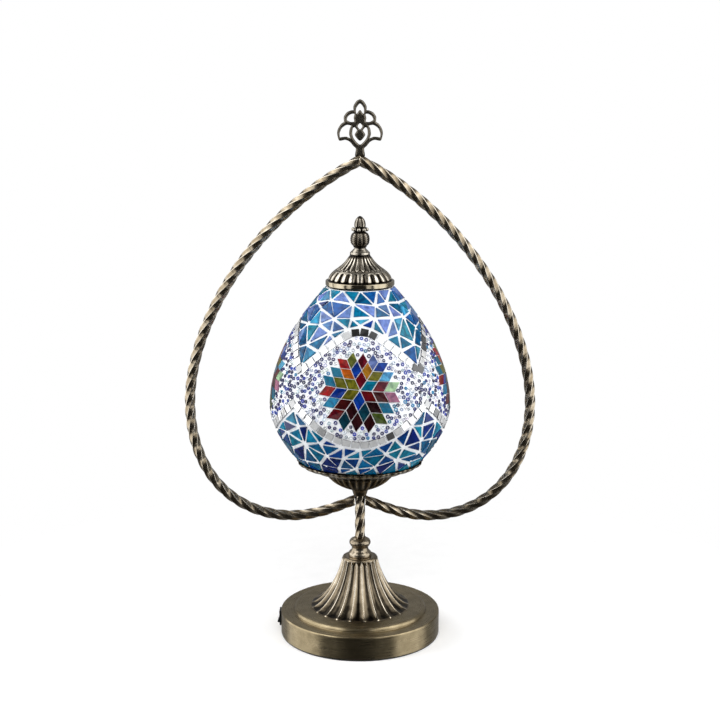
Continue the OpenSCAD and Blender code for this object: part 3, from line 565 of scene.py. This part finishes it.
LAMP_TOP = 445.5
PALM_LOW = 402.6
PALM_TALL = 42.8
PALM_SEAT = 2.0
PALM_THICK = 3.0
PALM_GRID = 0.5
FOOT = [(2.9, 0), (2.9, 4.2), (5, 6.4), (8.3, 9.7), (11.7, 11.1)]
WINGS = [(16.5, 10.6), (18.1, 15.8), (17.5, 19.7), (15, 23.6), (12.8, 25.3), (12.8, 29.2)]
CROWN = [(10.6, 32.5), (7.2, 34.2), (5.2, 34.4), (5.3, 35.8), (5, 38), (2.8, 41.4), (0, PALM_TALL)]
PETAL = [(8, 12.6), (10.8, 13.6), (14, 13.4), (15.9, 13.2), (16.1, 16.4), (14.4, 20.3), (10.8, 22.8)]
PETAL += [(7.2, 22.3), (8.2, 19.7), (8.7, 15.8)]
UPPER_PETAL = [(10.4, 26.8), (9.4, 29.7), (6.8, 31.4), (4.4, 31.4), (5, 28.4), (4.6, 25.6), (7.4, 25.2)]
POCKET = [(0, 7.4), (4.6, 11.6), (6.1, 15.6), (5.7, 20), (4.3, 21), (2.4, 18.6), (4.2, 15.2), (2, 11.8)]
POCKET += [(0, 10.4)]
TOP_HOLE = [(0, 34.6), (2.6, 31.6), (3.2, 33.4), (2.8, 36.4), (0, 39.6)]
LOZENGE = [(0, 19.4), (1.9, 21.9), (0, 24.2)]


def mirrored(half):
    return half + [(-x, y) for x, y in half[::-1] if x > 0]


def rounded_loop(points, step=0.45, tension=0.4):
    """A smooth closed curve through given points."""
    p = np.array(points, float)
    loop = []
    for i in range(len(p)):
        a, b, c, d = (p[(i + k) % len(p)] for k in (-1, 0, 1, 2))
        count = max(2, int(norm(c - b) / step) + 1)
        t = np.linspace(0, 1, count, endpoint=False)[:, None]
        out, back = (c - a) * tension, (d - b) * tension
        near = (2 * t**3 - 3 * t**2 + 1) * b + (t**3 - 2 * t**2 + t) * out
        loop.append(near + (3 * t**2 - 2 * t**3) * c + (t**3 - t**2) * back)
    return np.vstack(loop)


def gap_to(points, loops):
    """Distance from each point to the nearest edge of the loops."""
    best = np.full(len(points), 1e9)
    for loop in loops:
        for start, way in zip(loop, np.roll(loop, -1, 0) - loop):
            t = ((points - start) @ way / (way @ way + 1e-12)).clip(0, 1)
            best = np.minimum(best, norm(points - start - t[:, None] * way, axis=1))
    return best


def inside_loop(points, loop):
    hit = np.zeros(len(points), bool)
    for (ax, ay), (bx, by) in zip(loop, np.roll(loop, -1, 0)):
        crosses = (ay > points[:, 1]) != (by > points[:, 1])
        with np.errstate(divide="ignore", invalid="ignore"):
            x = ax + (points[:, 1] - ay) / (by - ay) * (bx - ax)
        hit ^= crosses & (points[:, 0] < x)
    return hit


def in_strap(points, loops):
    """True inside the outline and outside every hole."""
    found = inside_loop(points, loops[0])
    for hole in loops[1:]:
        found &= ~inside_loop(points, hole)
    return found


def clockwise(flat, face):
    a, b, c = (flat[i] for i in face[:3])
    return (b[0] - a[0]) * (c[1] - a[1]) - (b[1] - a[1]) * (c[0] - a[0]) < 0


def palmette_loops():
    """The outline, then the holes."""
    scale = (LAMP_TOP - PALM_LOW) / PALM_TALL
    half = [(x * scale, y * scale) for x, y in FOOT + WINGS + CROWN]
    outer = rounded_loop(mirrored(half))
    outer[:, 1] = outer[:, 1].clip(0, PALM_TALL * scale)
    petals = [rounded_loop(PETAL), rounded_loop(UPPER_PETAL)]
    middle = [rounded_loop(mirrored(half)) for half in (POCKET, TOP_HOLE, LOZENGE)]
    return [outer] + petals + [loop[::-1] * (-1, 1) for loop in petals] + middle


def strap_sheet(loops):
    """Points and triangles that fill the straps, the loops' own points first."""
    across = np.arange(-18, 18.1, PALM_GRID)
    grid = np.stack(np.meshgrid(across, np.arange(0, 43, PALM_GRID)), -1).reshape(-1, 2)
    grid = grid[in_strap(grid, loops) & (gap_to(grid, loops) > 0.28)]
    flat, edges = [], []
    for loop in loops:
        start = len(flat)
        edges += [(start + i, start + (i + 1) % len(loop)) for i in range(len(loop))]
        flat += loop.tolist()
    made = delaunay_2d_cdt(flat + grid.tolist(), edges, [], 0, 1e-5)
    flat = np.array([tuple(v) for v in made[0]])
    middle = np.array([flat[list(f)].mean(0) for f in made[2]])
    triangles = [tuple(f) for f, kept in zip(made[2], in_strap(middle, loops)) if kept]
    return flat, [f[::-1] if clockwise(flat, f) else f for f in triangles]


def palmette():
    """Pierced ornament with pillowed straps, cast in one piece, its foot spread over the rods."""
    loops = palmette_loops()
    flat, faces = strap_sheet(loops)
    swell = np.sqrt(1 - (1 - (gap_to(flat, loops) / 1.5).clip(0, 1)) ** 2)
    half = PALM_THICK / 2 * (0.35 + 0.65 * swell)
    wide = flat[:, 0] * (1 + 0.26 * (1 - flat[:, 1] / 9).clip(0, 1))
    seated = flat[:, 1] - PALM_SEAT * (1 - flat[:, 1] / 4.2).clip(0, 1)
    front = np.stack([wide, -half, PALM_LOW + seated], 1)
    total = len(flat)
    faces = faces + [tuple(total + i for i in f[::-1]) for f in faces]
    start = 0
    for loop in loops:
        for i in range(len(loop)):
            a, b = start + i, start + (i + 1) % len(loop)
            faces.append((a, b, total + b, total + a))
        start += len(loop)
    verts = np.vstack([front, front * (1, -1, 1)])
    relief = np.tile(0.1 + 0.85 * swell, 2)
    piece("palmette", "dark_pewter", "lamp", verts, faces, "pewter_brass", relief=relief)


# ---------- the globe's mosaic ----------

GLOBE_FOOT = [(49.8, 150.4)]
GLOBE_BELLY = [(50, 150.6), (67.2, 166.5), (74.7, 187.3), (74.7, 198)]
GLOBE_CROWN = [(74.7, 198), (74.7, 250.4), (27.6, 296.7), (25.5, 299.6)]
MOSAIC_LOW = 150.4
MOSAIC_TOP = 297.3
STAR_Z = 225.6
STARS = 4
SECTOR = math.tau / STARS


class Skin:
    """The globe's surface with coordinates that keep every angle true: x is the azimuth from the
    front, y runs up the outline and is 0 at the stars' middles. Both are in radians, so a small
    shape drawn in them is larger on the globe by the radius there."""

    line, run = evened(joined(GLOBE_FOOT, bezier(GLOBE_BELLY, 200), bezier(GLOBE_CROWN, 400)), 0.2)
    radius, height = line[:, 0], line[:, 1]
    slope = np.gradient(line, axis=0)
    out = np.stack([slope[:, 1], -slope[:, 0]], 1) / norm(slope, axis=1)[:, None]
    up = np.r_[0, np.cumsum(np.diff(run) / ((radius[1:] + radius[:-1]) / 2))]
    up -= np.interp(STAR_Z, height, up)

    @classmethod
    def y_at(cls, z):
        return np.interp(z, cls.height, cls.up)

    @classmethod
    def radius_at(cls, y):
        return np.interp(y, cls.up, cls.radius)

    @classmethod
    def point(cls, x, y, h):
        """Points on the globe, h millimetres outside the mosaic's face."""
        r = np.interp(y, cls.up, cls.radius) + h * np.interp(y, cls.up, cls.out[:, 0])
        z = np.interp(y, cls.up, cls.height) + h * np.interp(y, cls.up, cls.out[:, 1])
        return np.stack([r * np.sin(x), -r * np.cos(x), z], -1)


def moved_up(y, distance):
    """A place y in the skin's coordinates, so many millimetres further up."""
    return y + distance / Skin.radius_at(y)


def in_sector(x):
    """Azimuth from the nearest star's middle."""
    return (np.asarray(x) + SECTOR / 2) % SECTOR - SECTOR / 2


def arch(x):
    """1 at a star's azimuth and 0 half way between two stars."""
    return np.cos(np.pi / SECTOR * np.abs(in_sector(x)))


def belt_top(x):
    return Skin.y_at(235.8 + 32.4 * arch(x))


def belt_low(x):
    return Skin.y_at(211.3 - 30.4 * arch(x))


def nudge(rng):
    return np.array([rng.uniform(-1, 1), rng.uniform(-1, 1)])


TILE_FACE = -0.2
TILE_BEVEL = 0.35


class Tiles:
    """Cut tiles of one kind gathered into one mesh."""

    def __init__(self):
        self.verts, self.faces, self.tints, self.relief = [], [], [], []

    def add(self, corners, tint, rng, thick=1.7, face=TILE_FACE, tilt=0.12, edge=TILE_BEVEL):
        """A tile with the given corners, in the skin's coordinates, anticlockwise from outside. It
        leans a little at random, and never stands out past its face's height."""
        flat = np.array(corners, float)
        middle = flat.mean(0)
        size = Skin.radius_at(middle[1])
        reach = norm(flat - middle, axis=1).min() * size
        if reach < 1.2:
            return
        lean = nudge(rng) * tilt / max(reach, 1)
        shoulder = 0.06 * edge / TILE_BEVEL
        levels = [(0.0, face - thick), (0.0, face - edge), (shoulder, face - 0.1), (edge * 0.9, face)]
        start = len(self.verts)
        count = len(flat)
        for inset, h in levels:
            ring = middle + (flat - middle) * (1 - inset / reach)
            sink = ((ring - middle) * size) @ lean
            rise = (h + (sink - np.abs(lean).sum() * reach * 0.7) * (h > face - thick)).clip(None, face)
            self.verts += Skin.point(ring[:, 0], ring[:, 1], rise).tolist()
        self.faces += capped(len(levels), count, start)
        self.tints += [tint] * (count * len(levels))
        self.relief += [0.0] * (2 * count) + [0.5] * count + [1.0] * count

    def make(self, name, material, slot):
        piece(name, material, "lamp", self.verts, self.faces, slot, None, False, self.relief, self.tints)


def make_glass(kinds):
    """One mesh of stained glass for each kind of tile."""
    for name, tiles in kinds.items():
        tiles.make(name, "tile_glass", "tile_" + name.split("_")[-1])


def varied(tint, rng, amount):
    """A tint given in display values, a little lighter or darker and shifted in hue."""
    k = 1 + rng.uniform(-amount, amount)
    shifted = [min(1.0, c * k * (1 + rng.uniform(-amount, amount) / 3)) for c in srgb(*tint)[:3]]
    return (*shifted, 1.0)


# A star's rings of diamonds from the inside out, each clockwise from the top arm: a tint a letter.
STAR_PITCH = 9.4
STAR_LEAN = 84.7
STAR_PATTERN = ["rtrboo", "bgornkdknboy", "ArlbsemtvkkdrTRttR"]
STAR_CLASS = {"star_tiles_red": "rRnkml", "star_tiles_amber": "goyAve", "star_tiles_blue": "btdsT"}
STAR_TINTS = {
    "r": (92, 10, 12), "R": (140, 22, 14), "n": (62, 14, 12), "k": (40, 10, 12), "o": (96, 88, 20),
    "v": (54, 66, 20), "g": (150, 100, 18), "y": (176, 84, 18), "A": (108, 108, 40), "e": (150, 172, 134),
    "m": (150, 92, 108), "l": (100, 104, 160), "b": (8, 42, 128), "s": (80, 146, 180), "t": (6, 90, 116),
    "d": (6, 46, 60), "T": (10, 104, 140),
}


def toward(degrees, reach):
    return reach * np.array([math.cos(math.radians(degrees)), math.sin(math.radians(degrees))])


def diamond(ring, place):
    """Corners of one diamond of a star, in millimetres from the star's middle."""
    arm, i = divmod(place, ring + 1)
    j = ring - i
    a = toward(STAR_LEAN - 60 * arm - 30, STAR_PITCH)
    b = toward(STAR_LEAN - 60 * arm + 30, STAR_PITCH)
    return [i * a + j * b, (i + 1) * a + j * b, (i + 1) * a + (j + 1) * b, i * a + (j + 1) * b]


def star_tiles(rng):
    kinds = {name: Tiles() for name in STAR_CLASS}
    size = Skin.radius_at(0.0)
    for star in range(STARS):
        for ring, letters in enumerate(STAR_PATTERN):
            for place, letter in enumerate(letters):
                flat = diamond(ring, place)
                middle = sum(flat) / 4
                jitter = np.array([rng.uniform(-0.12, 0.12) for _ in range(8)]).reshape(4, 2)
                flat = middle + (np.array(flat) - middle) * 0.93 + jitter
                kind = next(name for name, used in STAR_CLASS.items() if letter in used)
                corners = flat / size + (star * SECTOR, 0)
                kinds[kind].add(corners, varied(STAR_TINTS[letter], rng, 0.12), rng)
    make_glass(kinds)


MIRROR = 6.3
MIRROR_PITCH = 7.2
MIRROR_GLOWS = (0.94, 0.94, 0.9, 0.94, 0.86, 0.94, 0.5, 0.94, 0.12)
SQUARE = ((-1, -1), (1, -1), (1, 1), (-1, 1))


def mirror_tiles(rng, dark=0.03, painted_reflection_reach=0.14):
    """Small square mirrors along both edges of the belt; those over the front star are painted dark, a
    painted reflection.
    """
    tiles = Tiles()
    for edge, side in ((belt_top, 1), (belt_low, -1)):
        x = np.linspace(0, math.tau, 7200)
        y = edge(x)
        step = np.hypot(np.diff(x), np.diff(y)) * Skin.radius_at(y)[1:]
        run = np.r_[0, np.cumsum(step)]
        count = int(run[-1] // MIRROR_PITCH)
        for k in range(count):
            at = (k + 0.5) * run[-1] / count
            px, py = np.interp(at, run, x), np.interp(at, run, y)
            along = np.array([np.interp(at + 1, run, x) - px, np.interp(at + 1, run, y) - py])
            along /= norm(along)
            up = np.array([-along[1], along[0]])
            half = MIRROR / 2 / Skin.radius_at(py) * rng.uniform(0.92, 1.04)
            spin = rng.uniform(-0.06, 0.06)
            along, up = along + up * spin, up - along * spin
            middle = np.array([px, py]) - up * side * half * 0.1
            corners = [middle + half * (i * along + j * up) for i, j in SQUARE]
            # Mirrors in the top row over the front star get a painted dark reflection in place of their
            # silver tone.
            painted_reflection_spot = side > 0 and min(px, math.tau - px) < painted_reflection_reach
            glow = dark if painted_reflection_spot else rng.choice(MIRROR_GLOWS)
            tiles.add(corners, (glow, glow, glow, 1), rng, 1.6, -0.25, 0.3, 0.36)
    tiles.make("mirror_tiles", "mirror_tile", "mirror_tile")


def scatter(low, high, apart, tries, rng, keep, widest=75, narrow=52):
    """Points spread evenly over the whole globe between two edges, at least so many millimetres
    apart, and a little closer where the globe is narrow."""
    x, along, chance = (np.array([rng.random() for _ in range(tries)]) for _ in range(3))
    x = math.tau * x - math.pi
    y = low(x) + (high(x) - low(x)) * along
    size = Skin.radius_at(y)
    wanted = keep(x, y) & (chance < size / widest)
    found = np.empty((0, 2))
    closer = apart * (size[wanted] / narrow).clip(0.75, 1)
    for point, near in zip(np.stack([x, y], 1)[wanted], closer / size[wanted]):
        away = np.abs(found - point)
        away[:, 0] = np.minimum(away[:, 0], math.tau - away[:, 0])
        if (np.hypot(away[:, 0], away[:, 1]) > near).all():
            found = np.vstack([found, point])
    return found


def overlapped(block):
    """Points repeated a little past both ends of the turn, so that they join up round the globe."""
    wide = np.vstack([block - (math.tau, 0), block, block + (math.tau, 0)])
    return wide[np.abs(wide[:, 0]) < math.pi + 0.9]


def triangles_between(low, high, low_count, high_count, apart, rng, tries=8000, edge_room=0.62):
    """Points between two edges and the triangles that join them all round the globe."""

    def room(x, y):
        margin = edge_room * apart
        return (moved_up(low(x), margin) < y) & (y < moved_up(high(x), -margin))

    inner = scatter(low, high, apart, tries, rng, room)
    points, edges = [], []
    for edge, count in ((low, low_count), (high, high_count)):
        x = np.linspace(-math.pi, math.pi, count, endpoint=False)
        wide = overlapped(np.stack([x, edge(x)], 1))
        wide = wide[np.argsort(wide[:, 0])]
        edges += [(len(points) + i, len(points) + i + 1) for i in range(len(wide) - 1)]
        points += wide.tolist()
    made = delaunay_2d_cdt(points + overlapped(inner).tolist(), edges, [], 0, 1e-7)
    flat = np.array([tuple(v) for v in made[0]])
    cells = []
    for face in made[2]:
        x, y = flat[list(face)].mean(0)
        if -math.pi <= x < math.pi and low(x) < y < high(x):
            cells.append(list(face) if not clockwise(flat, face) else list(face)[::-1])
    return flat, cells


def broken_rows(tints, low, high, low_count, high_count, apart, joint, rng):
    """Cut triangles and kites between two edges: some pairs of triangles stay one tile, and each
    tile is drawn in for its grout joint."""
    flat, cells = triangles_between(low, high, low_count, high_count, apart, rng)
    names = list(tints)
    shares = [TILE_SHARES[name.split("_")[-1]] for name in names]
    kinds = {name: Tiles() for name in names}
    for cell in merged(cells, flat, rng):
        corners = drawn_in(flat[cell], joint * rng.uniform(0.8, 1.5), rng)
        if corners is None:
            continue
        name = rng.choices(names, shares)[0]
        kinds[name].add(corners, varied(rng.choice(tints[name]), rng, 0.2), rng, tilt=0.18)
    make_glass(kinds)


def merged(cells, flat, rng, share=0.16, most=19, sag=7):
    """Joins some pairs of neighbouring triangles into kites that the curved globe can carry."""
    owner = {}
    for n, cell in enumerate(cells):
        for i in range(3):
            owner.setdefault(frozenset((cell[i], cell[(i + 1) % 3])), []).append(n)
    used, result = set(), []
    for edge, pair in owner.items():
        if len(pair) < 2 or used & set(pair) or rng.random() > share:
            continue
        first, second = (cells[n] for n in pair)
        tip = next(v for v in second if v not in edge)
        i = next(i for i in range(3) if {first[i], first[(i + 1) % 3]} == set(edge))
        kite = first[: i + 1] + [tip] + first[i + 1 :]
        hollow = [clockwise(flat, (kite[k - 1], kite[k], kite[(k + 1) % 4])) for k in range(4)]
        size = Skin.radius_at(flat[tip][1])
        longest = max(norm(flat[kite[i]] - flat[kite[j]]) for i, j in ((0, 2), (1, 3))) * size
        if any(hollow) or longest > most or longest**2 > sag * size:
            continue
        used.update(pair)
        result.append(kite)
    return result + [cell for n, cell in enumerate(cells) if n not in used]


def drawn_in(corners, joint, rng, least_area=5):
    """Corners with every side moved in by half the joint, then nudged. None for a sliver."""
    size = Skin.radius_at(corners.mean(0)[1])
    count = len(corners)
    moved = []
    for i in range(count):
        a, b, c = corners[i - 1], corners[i], corners[(i + 1) % count]
        p, q = (b - a) / norm(b - a), (c - b) / norm(c - b)
        if p[0] * q[1] - p[1] * q[0] < 0.12:
            return None
        n1, n2 = np.array([-p[1], p[0]]), np.array([-q[1], q[0]])
        shift = (n1 + n2) / (1 + n1 @ n2) * (joint / 2 / size)
        moved.append(b + shift + nudge(rng) * 0.25 / size)
    moved = np.array(moved)
    middle = moved.mean(0)
    turn = math.radians(rng.gauss(0, 2.5))
    away = (moved - middle) * rng.uniform(0.8, 1.02)
    spun = np.stack([away[:, 0] - away[:, 1] * turn, away[:, 1] + away[:, 0] * turn], 1)
    moved = middle + spun + nudge(rng) * 0.3 / size
    area = 0.5 * sum(moved[i - 1][0] * moved[i][1] - moved[i][0] * moved[i - 1][1] for i in range(count))
    return moved if area * size * size > least_area else None


UPPER_TINTS = {
    "upper_tiles_teal": [(2, 92, 126), (8, 116, 142), (4, 78, 122)],
    "upper_tiles_blue": [(8, 74, 136), (60, 138, 178), (14, 40, 120)],
    "upper_tiles_lilac": [(92, 110, 168), (106, 116, 172), (80, 112, 166)],
}
LOWER_TINTS = {
    "lower_tiles_teal": [(2, 84, 116), (4, 76, 120), (16, 108, 136)],
    "lower_tiles_navy": [(10, 28, 92), (8, 52, 116), (14, 34, 104)],
}
TILE_SHARES = {"teal": 5, "blue": 3, "lilac": 2.4, "navy": 4}
BELT_ROOM = 5.0


def level(z):
    """An edge at one height all round."""
    return lambda x: Skin.y_at(z) + 0 * np.asarray(x)


def beside(edge, distance):
    """An edge that runs so many millimetres above another."""
    return lambda x: moved_up(edge(x), distance)


BEAD_R = 1.12
BEAD_TUBE = 0.44
BEAD_TINTS = [(8, 8, 100), (14, 10, 74), (16, 36, 150), (10, 116, 160), (40, 66, 160), (4, 22, 116)]
BEAD_TINTS += [(36, 16, 90), (4, 6, 84), (8, 8, 70)]
CLEAR_TINTS = [(206, 212, 222), (176, 188, 206), (226, 230, 236)]

# A twelfth of the star's edge, as an angle from an arm's middle and a distance in pitches: its
# middle point, the notch beside it, its outer point and the notch between two arms.
STAR_EDGE = [(0, 12**0.5), (10.9, 7**0.5), (16.1, 13**0.5), (30, 3)]


def in_belt(x, y):
    """True where beads go: inside the mirrors and outside the star."""
    edge = (MIRROR / 2 + 1.9) / Skin.radius_at(y)
    inside = (belt_low(x) + edge < y) & (y < belt_top(x) - edge)
    size = Skin.radius_at(0.0)
    u, v = in_sector(x) * size, y * size
    reach = np.hypot(u, v)
    lean = np.abs((np.degrees(np.arctan2(v, u)) - STAR_LEAN + 30) % 60 - 30)
    inside &= reach > np.interp(lean, [a for a, _ in STAR_EDGE], [r * STAR_PITCH for _, r in STAR_EDGE])
    spot = reach[:, None] * np.stack([np.cos(np.radians(lean)), np.sin(np.radians(lean))], 1)
    corners = [toward(a, r * STAR_PITCH) for a, r in STAR_EDGE]
    for start, end in zip(corners, corners[1:]):
        way = end - start
        t = ((spot - start) @ way / (way @ way)).clip(0, 1)
        inside &= norm(spot - start - t[:, None] * way, axis=1) > BEAD_R + BEAD_TUBE
    return inside


def bead(x, y, rng, around, across):
    """Points of one ring-shaped bead that lies with its hole outward, tilted a little."""
    size = Skin.radius_at(y)
    big = BEAD_R * rng.uniform(0.86, 1.12)
    thin = BEAD_TUBE * rng.uniform(0.9, 1.1)
    tilt_x, tilt_y = rng.uniform(-0.25, 0.25), rng.uniform(-0.25, 0.25)
    reach = big + thin * np.cos(turns(across))[None]
    u = np.cos(turns(around))[:, None] * reach
    v = np.sin(turns(around))[:, None] * reach
    h = 0 * u + 0.78 * np.sin(turns(across))[None]
    h = h + u * tilt_x + v * tilt_y - 0.95
    return Skin.point(x + u / size, y + v / size, h.clip(None, TILE_FACE)).reshape(-1, 3).tolist()


def seed_beads(rng, apart=3.0, tries=60000, clear_share=0.38):
    """Small coloured and clear beads, scattered over the belt round the stars."""
    around, across = 14, 8
    kinds = {"seed_beads": ([], [], []), "clear_beads": ([], [], [])}
    for x, y in scatter(belt_low, belt_top, apart, tries, rng, in_belt):
        clear = rng.random() < clear_share
        verts, faces, tints = kinds["clear_beads" if clear else "seed_beads"]
        tint = varied(rng.choice(CLEAR_TINTS if clear else BEAD_TINTS), rng, 0.25)
        faces += grid_faces(around, across, True, len(verts))
        verts += bead(x, y, rng, around, across)
        tints += [tint] * (around * across)
    verts, faces, tints = kinds["seed_beads"]
    piece("seed_beads", "bead_glass", "lamp", verts, faces, tint=tints)
    verts, faces, tints = kinds["clear_beads"]
    piece("clear_beads", "clear_bead", "lamp", verts, faces, "bead_glass", [], tint=tints)


def grout_skin(rng, sunk=-1.55, bed_rise=0.4, back=-2.5):
    """White grout between the tiles and under the beads, below their faces and never quite even."""
    around, rows = 300, 160
    x = turns(around)[None]
    y = np.linspace(Skin.y_at(MOSAIC_LOW), Skin.y_at(MOSAIC_TOP), rows)[:, None]
    waves = [(rng.randint(3, 60), rng.uniform(20, 90), rng.uniform(0, 6.28)) for _ in range(14)]
    wobble = sum(np.sin(k * x + m * y + p) for k, m, p in waves) / len(waves)
    edge = (MIRROR / 2 - 0.5) / Skin.radius_at(y)
    bed = ease(belt_top(x) - y, 0, edge) * ease(y - belt_low(x), 0, edge)
    face = sunk + bed_rise * bed + 0.08 * wobble
    outer = Skin.point(x + 0 * y, y + 0 * x, face)
    inner = Skin.point(x + 0 * y, y + 0 * x, face * 0 + back)[::-1]
    verts = np.concatenate([outer, inner]).reshape(-1, 3)
    faces = grid_faces(2 * rows, around, True)
    piece("grout_skin", "white_grout", "lamp", verts, faces, replaced=["grout_skin", "bead_belt"])


def mosaic():
    rng = random.Random(11)
    grout_skin(rng)
    star_tiles(rng)
    mirror_tiles(rng)
    broken_rows(UPPER_TINTS, beside(belt_top, BELT_ROOM), level(296.9), 32, 12, 13.8, 1.3, rng)
    broken_rows(LOWER_TINTS, level(150.8), beside(belt_low, -BELT_ROOM), 20, 32, 13.2, 1.7, rng)
    seed_beads(rng)


# ---------- the CAD parts' surfaces ----------

FINISHES = {
    "brushed_brass": "base_pan",
    "turned_brass": "neck_ferrule",
    "zinc_steel": """base_cover cover_posts cover_screws base_washer base_nut cup_washer cup_nut cap_nut
        socket_thread bulb_screw_shell cap_stud cap_spring battery_springs""",
    "contact_brass": "socket_contact bulb_tip_contact switch_terminals battery_contacts",
    "black_plastic": "switch_housing switch_rocker battery_tray battery_door",
    "holder_phenolic": "socket_base socket_shell",
    "black_felt": "felt_pad",
    "black_rubber": "globe_seal",
    "cast_ballast": "ballast_weight",
    "blown_glass": "globe_glass",
    "bulb_glass": "bulb_glass",
    "bulb_white": "bulb_collar",
    "light_pipe": "bulb_light_pipe",
    "cell_jacket": "battery_cells",
    "wire_red": "wire_live wire_switch",
    "wire_black": "wire_return",
}


def finish_cad_parts():
    for material, names in FINISHES.items():
        for name in names.split():
            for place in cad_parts[name].material_slots:
                place.material = MATERIALS[material]


# ---------- studio ----------

AIM = (0, 0, 0.2)


def soft_box(name, place, size, power, shines=True, lights=True):
    """A lamp box in metres and watts. shines: it shows in glossy surfaces; lights: it lights matt ones."""
    data = bpy.data.lights.new(name, "AREA")
    data.shape = "RECTANGLE"
    data.size, data.size_y = size
    data.energy = power
    lamp = bpy.data.objects.new(name, data)
    lamp.location = place
    way = np.array(AIM) - np.array(place)
    flat = math.hypot(way[0], way[1])
    lamp.rotation_euler = (math.atan2(flat, -way[2]), 0, math.atan2(-way[0], way[1]))
    lamp.visible_glossy = shines
    lamp.visible_diffuse = lights
    bpy.context.collection.objects.link(lamp)


def surroundings():
    """White all round for the camera, and dim for everything else, most of all in front."""
    world = bpy.data.worlds.new("studio")
    bpy.context.scene.world = world
    world.use_nodes = True
    tree = world.node_tree
    where = add_node(tree, "TexCoord").outputs["Generated"]
    way = add_node(tree, "SeparateXYZ", {0: where}).outputs
    back = add_node(tree, "MapRange", {0: way[1], 1: -0.5, 2: 0.8, 3: 0.03, 4: 0.3})
    high = add_node(tree, "MapRange", {0: way[2], 1: 0.3, 2: 0.9, 3: 0.0, 4: 0.1})
    glow = add_node(tree, "Math", {0: back.outputs[0], 1: high.outputs[0]}, operation="ADD")
    seen = add_node(tree, "LightPath").outputs["Is Camera Ray"]
    shown = {0: seen, 6: glow.outputs[0], 7: WHITE}
    mix = add_node(tree, "Mix", shown, data_type="RGBA")
    put(tree, tree.nodes["Background"].inputs["Color"], mix.outputs[2])


def studio():
    """Big boxes at the sides, narrow ones that only glint in the metal, and a fill that only lights."""
    bpy.context.scene.view_settings.view_transform = "Standard"
    surroundings()
    soft_box("left_box", (-1.0, 0.0, 0.5), (1.6, 2.3), 22)
    soft_box("right_box", (0.95, -0.25, 0.5), (1.2, 2.2), 16)
    soft_box("left_strip", (-0.6, -0.8, 0.62), (0.32, 1.2), 1.9, lights=False)
    soft_box("right_strip", (0.5, -0.88, 0.62), (0.32, 1.2), 1.7, lights=False)
    soft_box("left_top_box", (-0.75, -0.1, 1.25), (0.6, 0.7), 1.9, lights=False)
    soft_box("right_top_box", (0.75, -0.15, 1.25), (0.6, 0.7), 1.6, lights=False)
    soft_box("front_box", (0.0, -1.0, 1.25), (1.2, 0.7), 11.5, shines=False)
    soft_box("low_front_box", (0.0, -1.1, 0.1), (1.4, 0.3), 2.6, shines=False)


def floor_paper():
    """Matt white that fades out round the lamp."""
    m = Material("floor_paper", Specular_IOR_Level=0.2, Emission_Color=WHITE, Emission_Strength=0.1)
    grain = m.noise(60.0, 3.0)
    m.set("Base Color", m.mix(m.ramp(grain, 0.3, 0.7), (0.93, 0.93, 0.93, 1), (0.96, 0.96, 0.96, 1)))
    m.set("Roughness", m.ramp(grain, 0.3, 0.7, 0.7, 0.8))
    reach = m.node("VectorMath", {0: m.place}, operation="LENGTH").outputs["Value"]
    m.set("Alpha", m.ramp(reach, 0.09, 0.42, 1.0, 0.0))


def floor(radius=900, drop=0.3, around=96):
    """A pale round sweep that melts into the white all round. It lies just under the felt."""
    rings = np.linspace(0, radius, 25)[1:]
    flat = [(r * math.cos(t), r * math.sin(t), -drop) for r in rings for t in turns(around)]
    verts = [tuple(c * mm for c in v) for v in flat]
    mesh = bpy.data.meshes.new("floor")
    mesh.from_pydata(verts, [], grid_faces(len(rings), around) + [tuple(range(around))])
    mesh.materials.append(MATERIALS["floor_paper"])
    made = bpy.data.objects.new("floor", mesh)
    bpy.context.collection.objects.link(made)
    made.visible_glossy = False
    made.visible_shadow = False


make_camera()
studio()
make_materials()
floor_paper()
floor()
frame_rod("frame_rod_left", -1)
frame_rod("frame_rod_right", 1)
stem()
flute_cone()
cup_bowl()
brim_dish()
cap_dome()
cap_collar()
cap_knob()
knob_balls()
palmette()
mosaic()
finish_cad_parts()
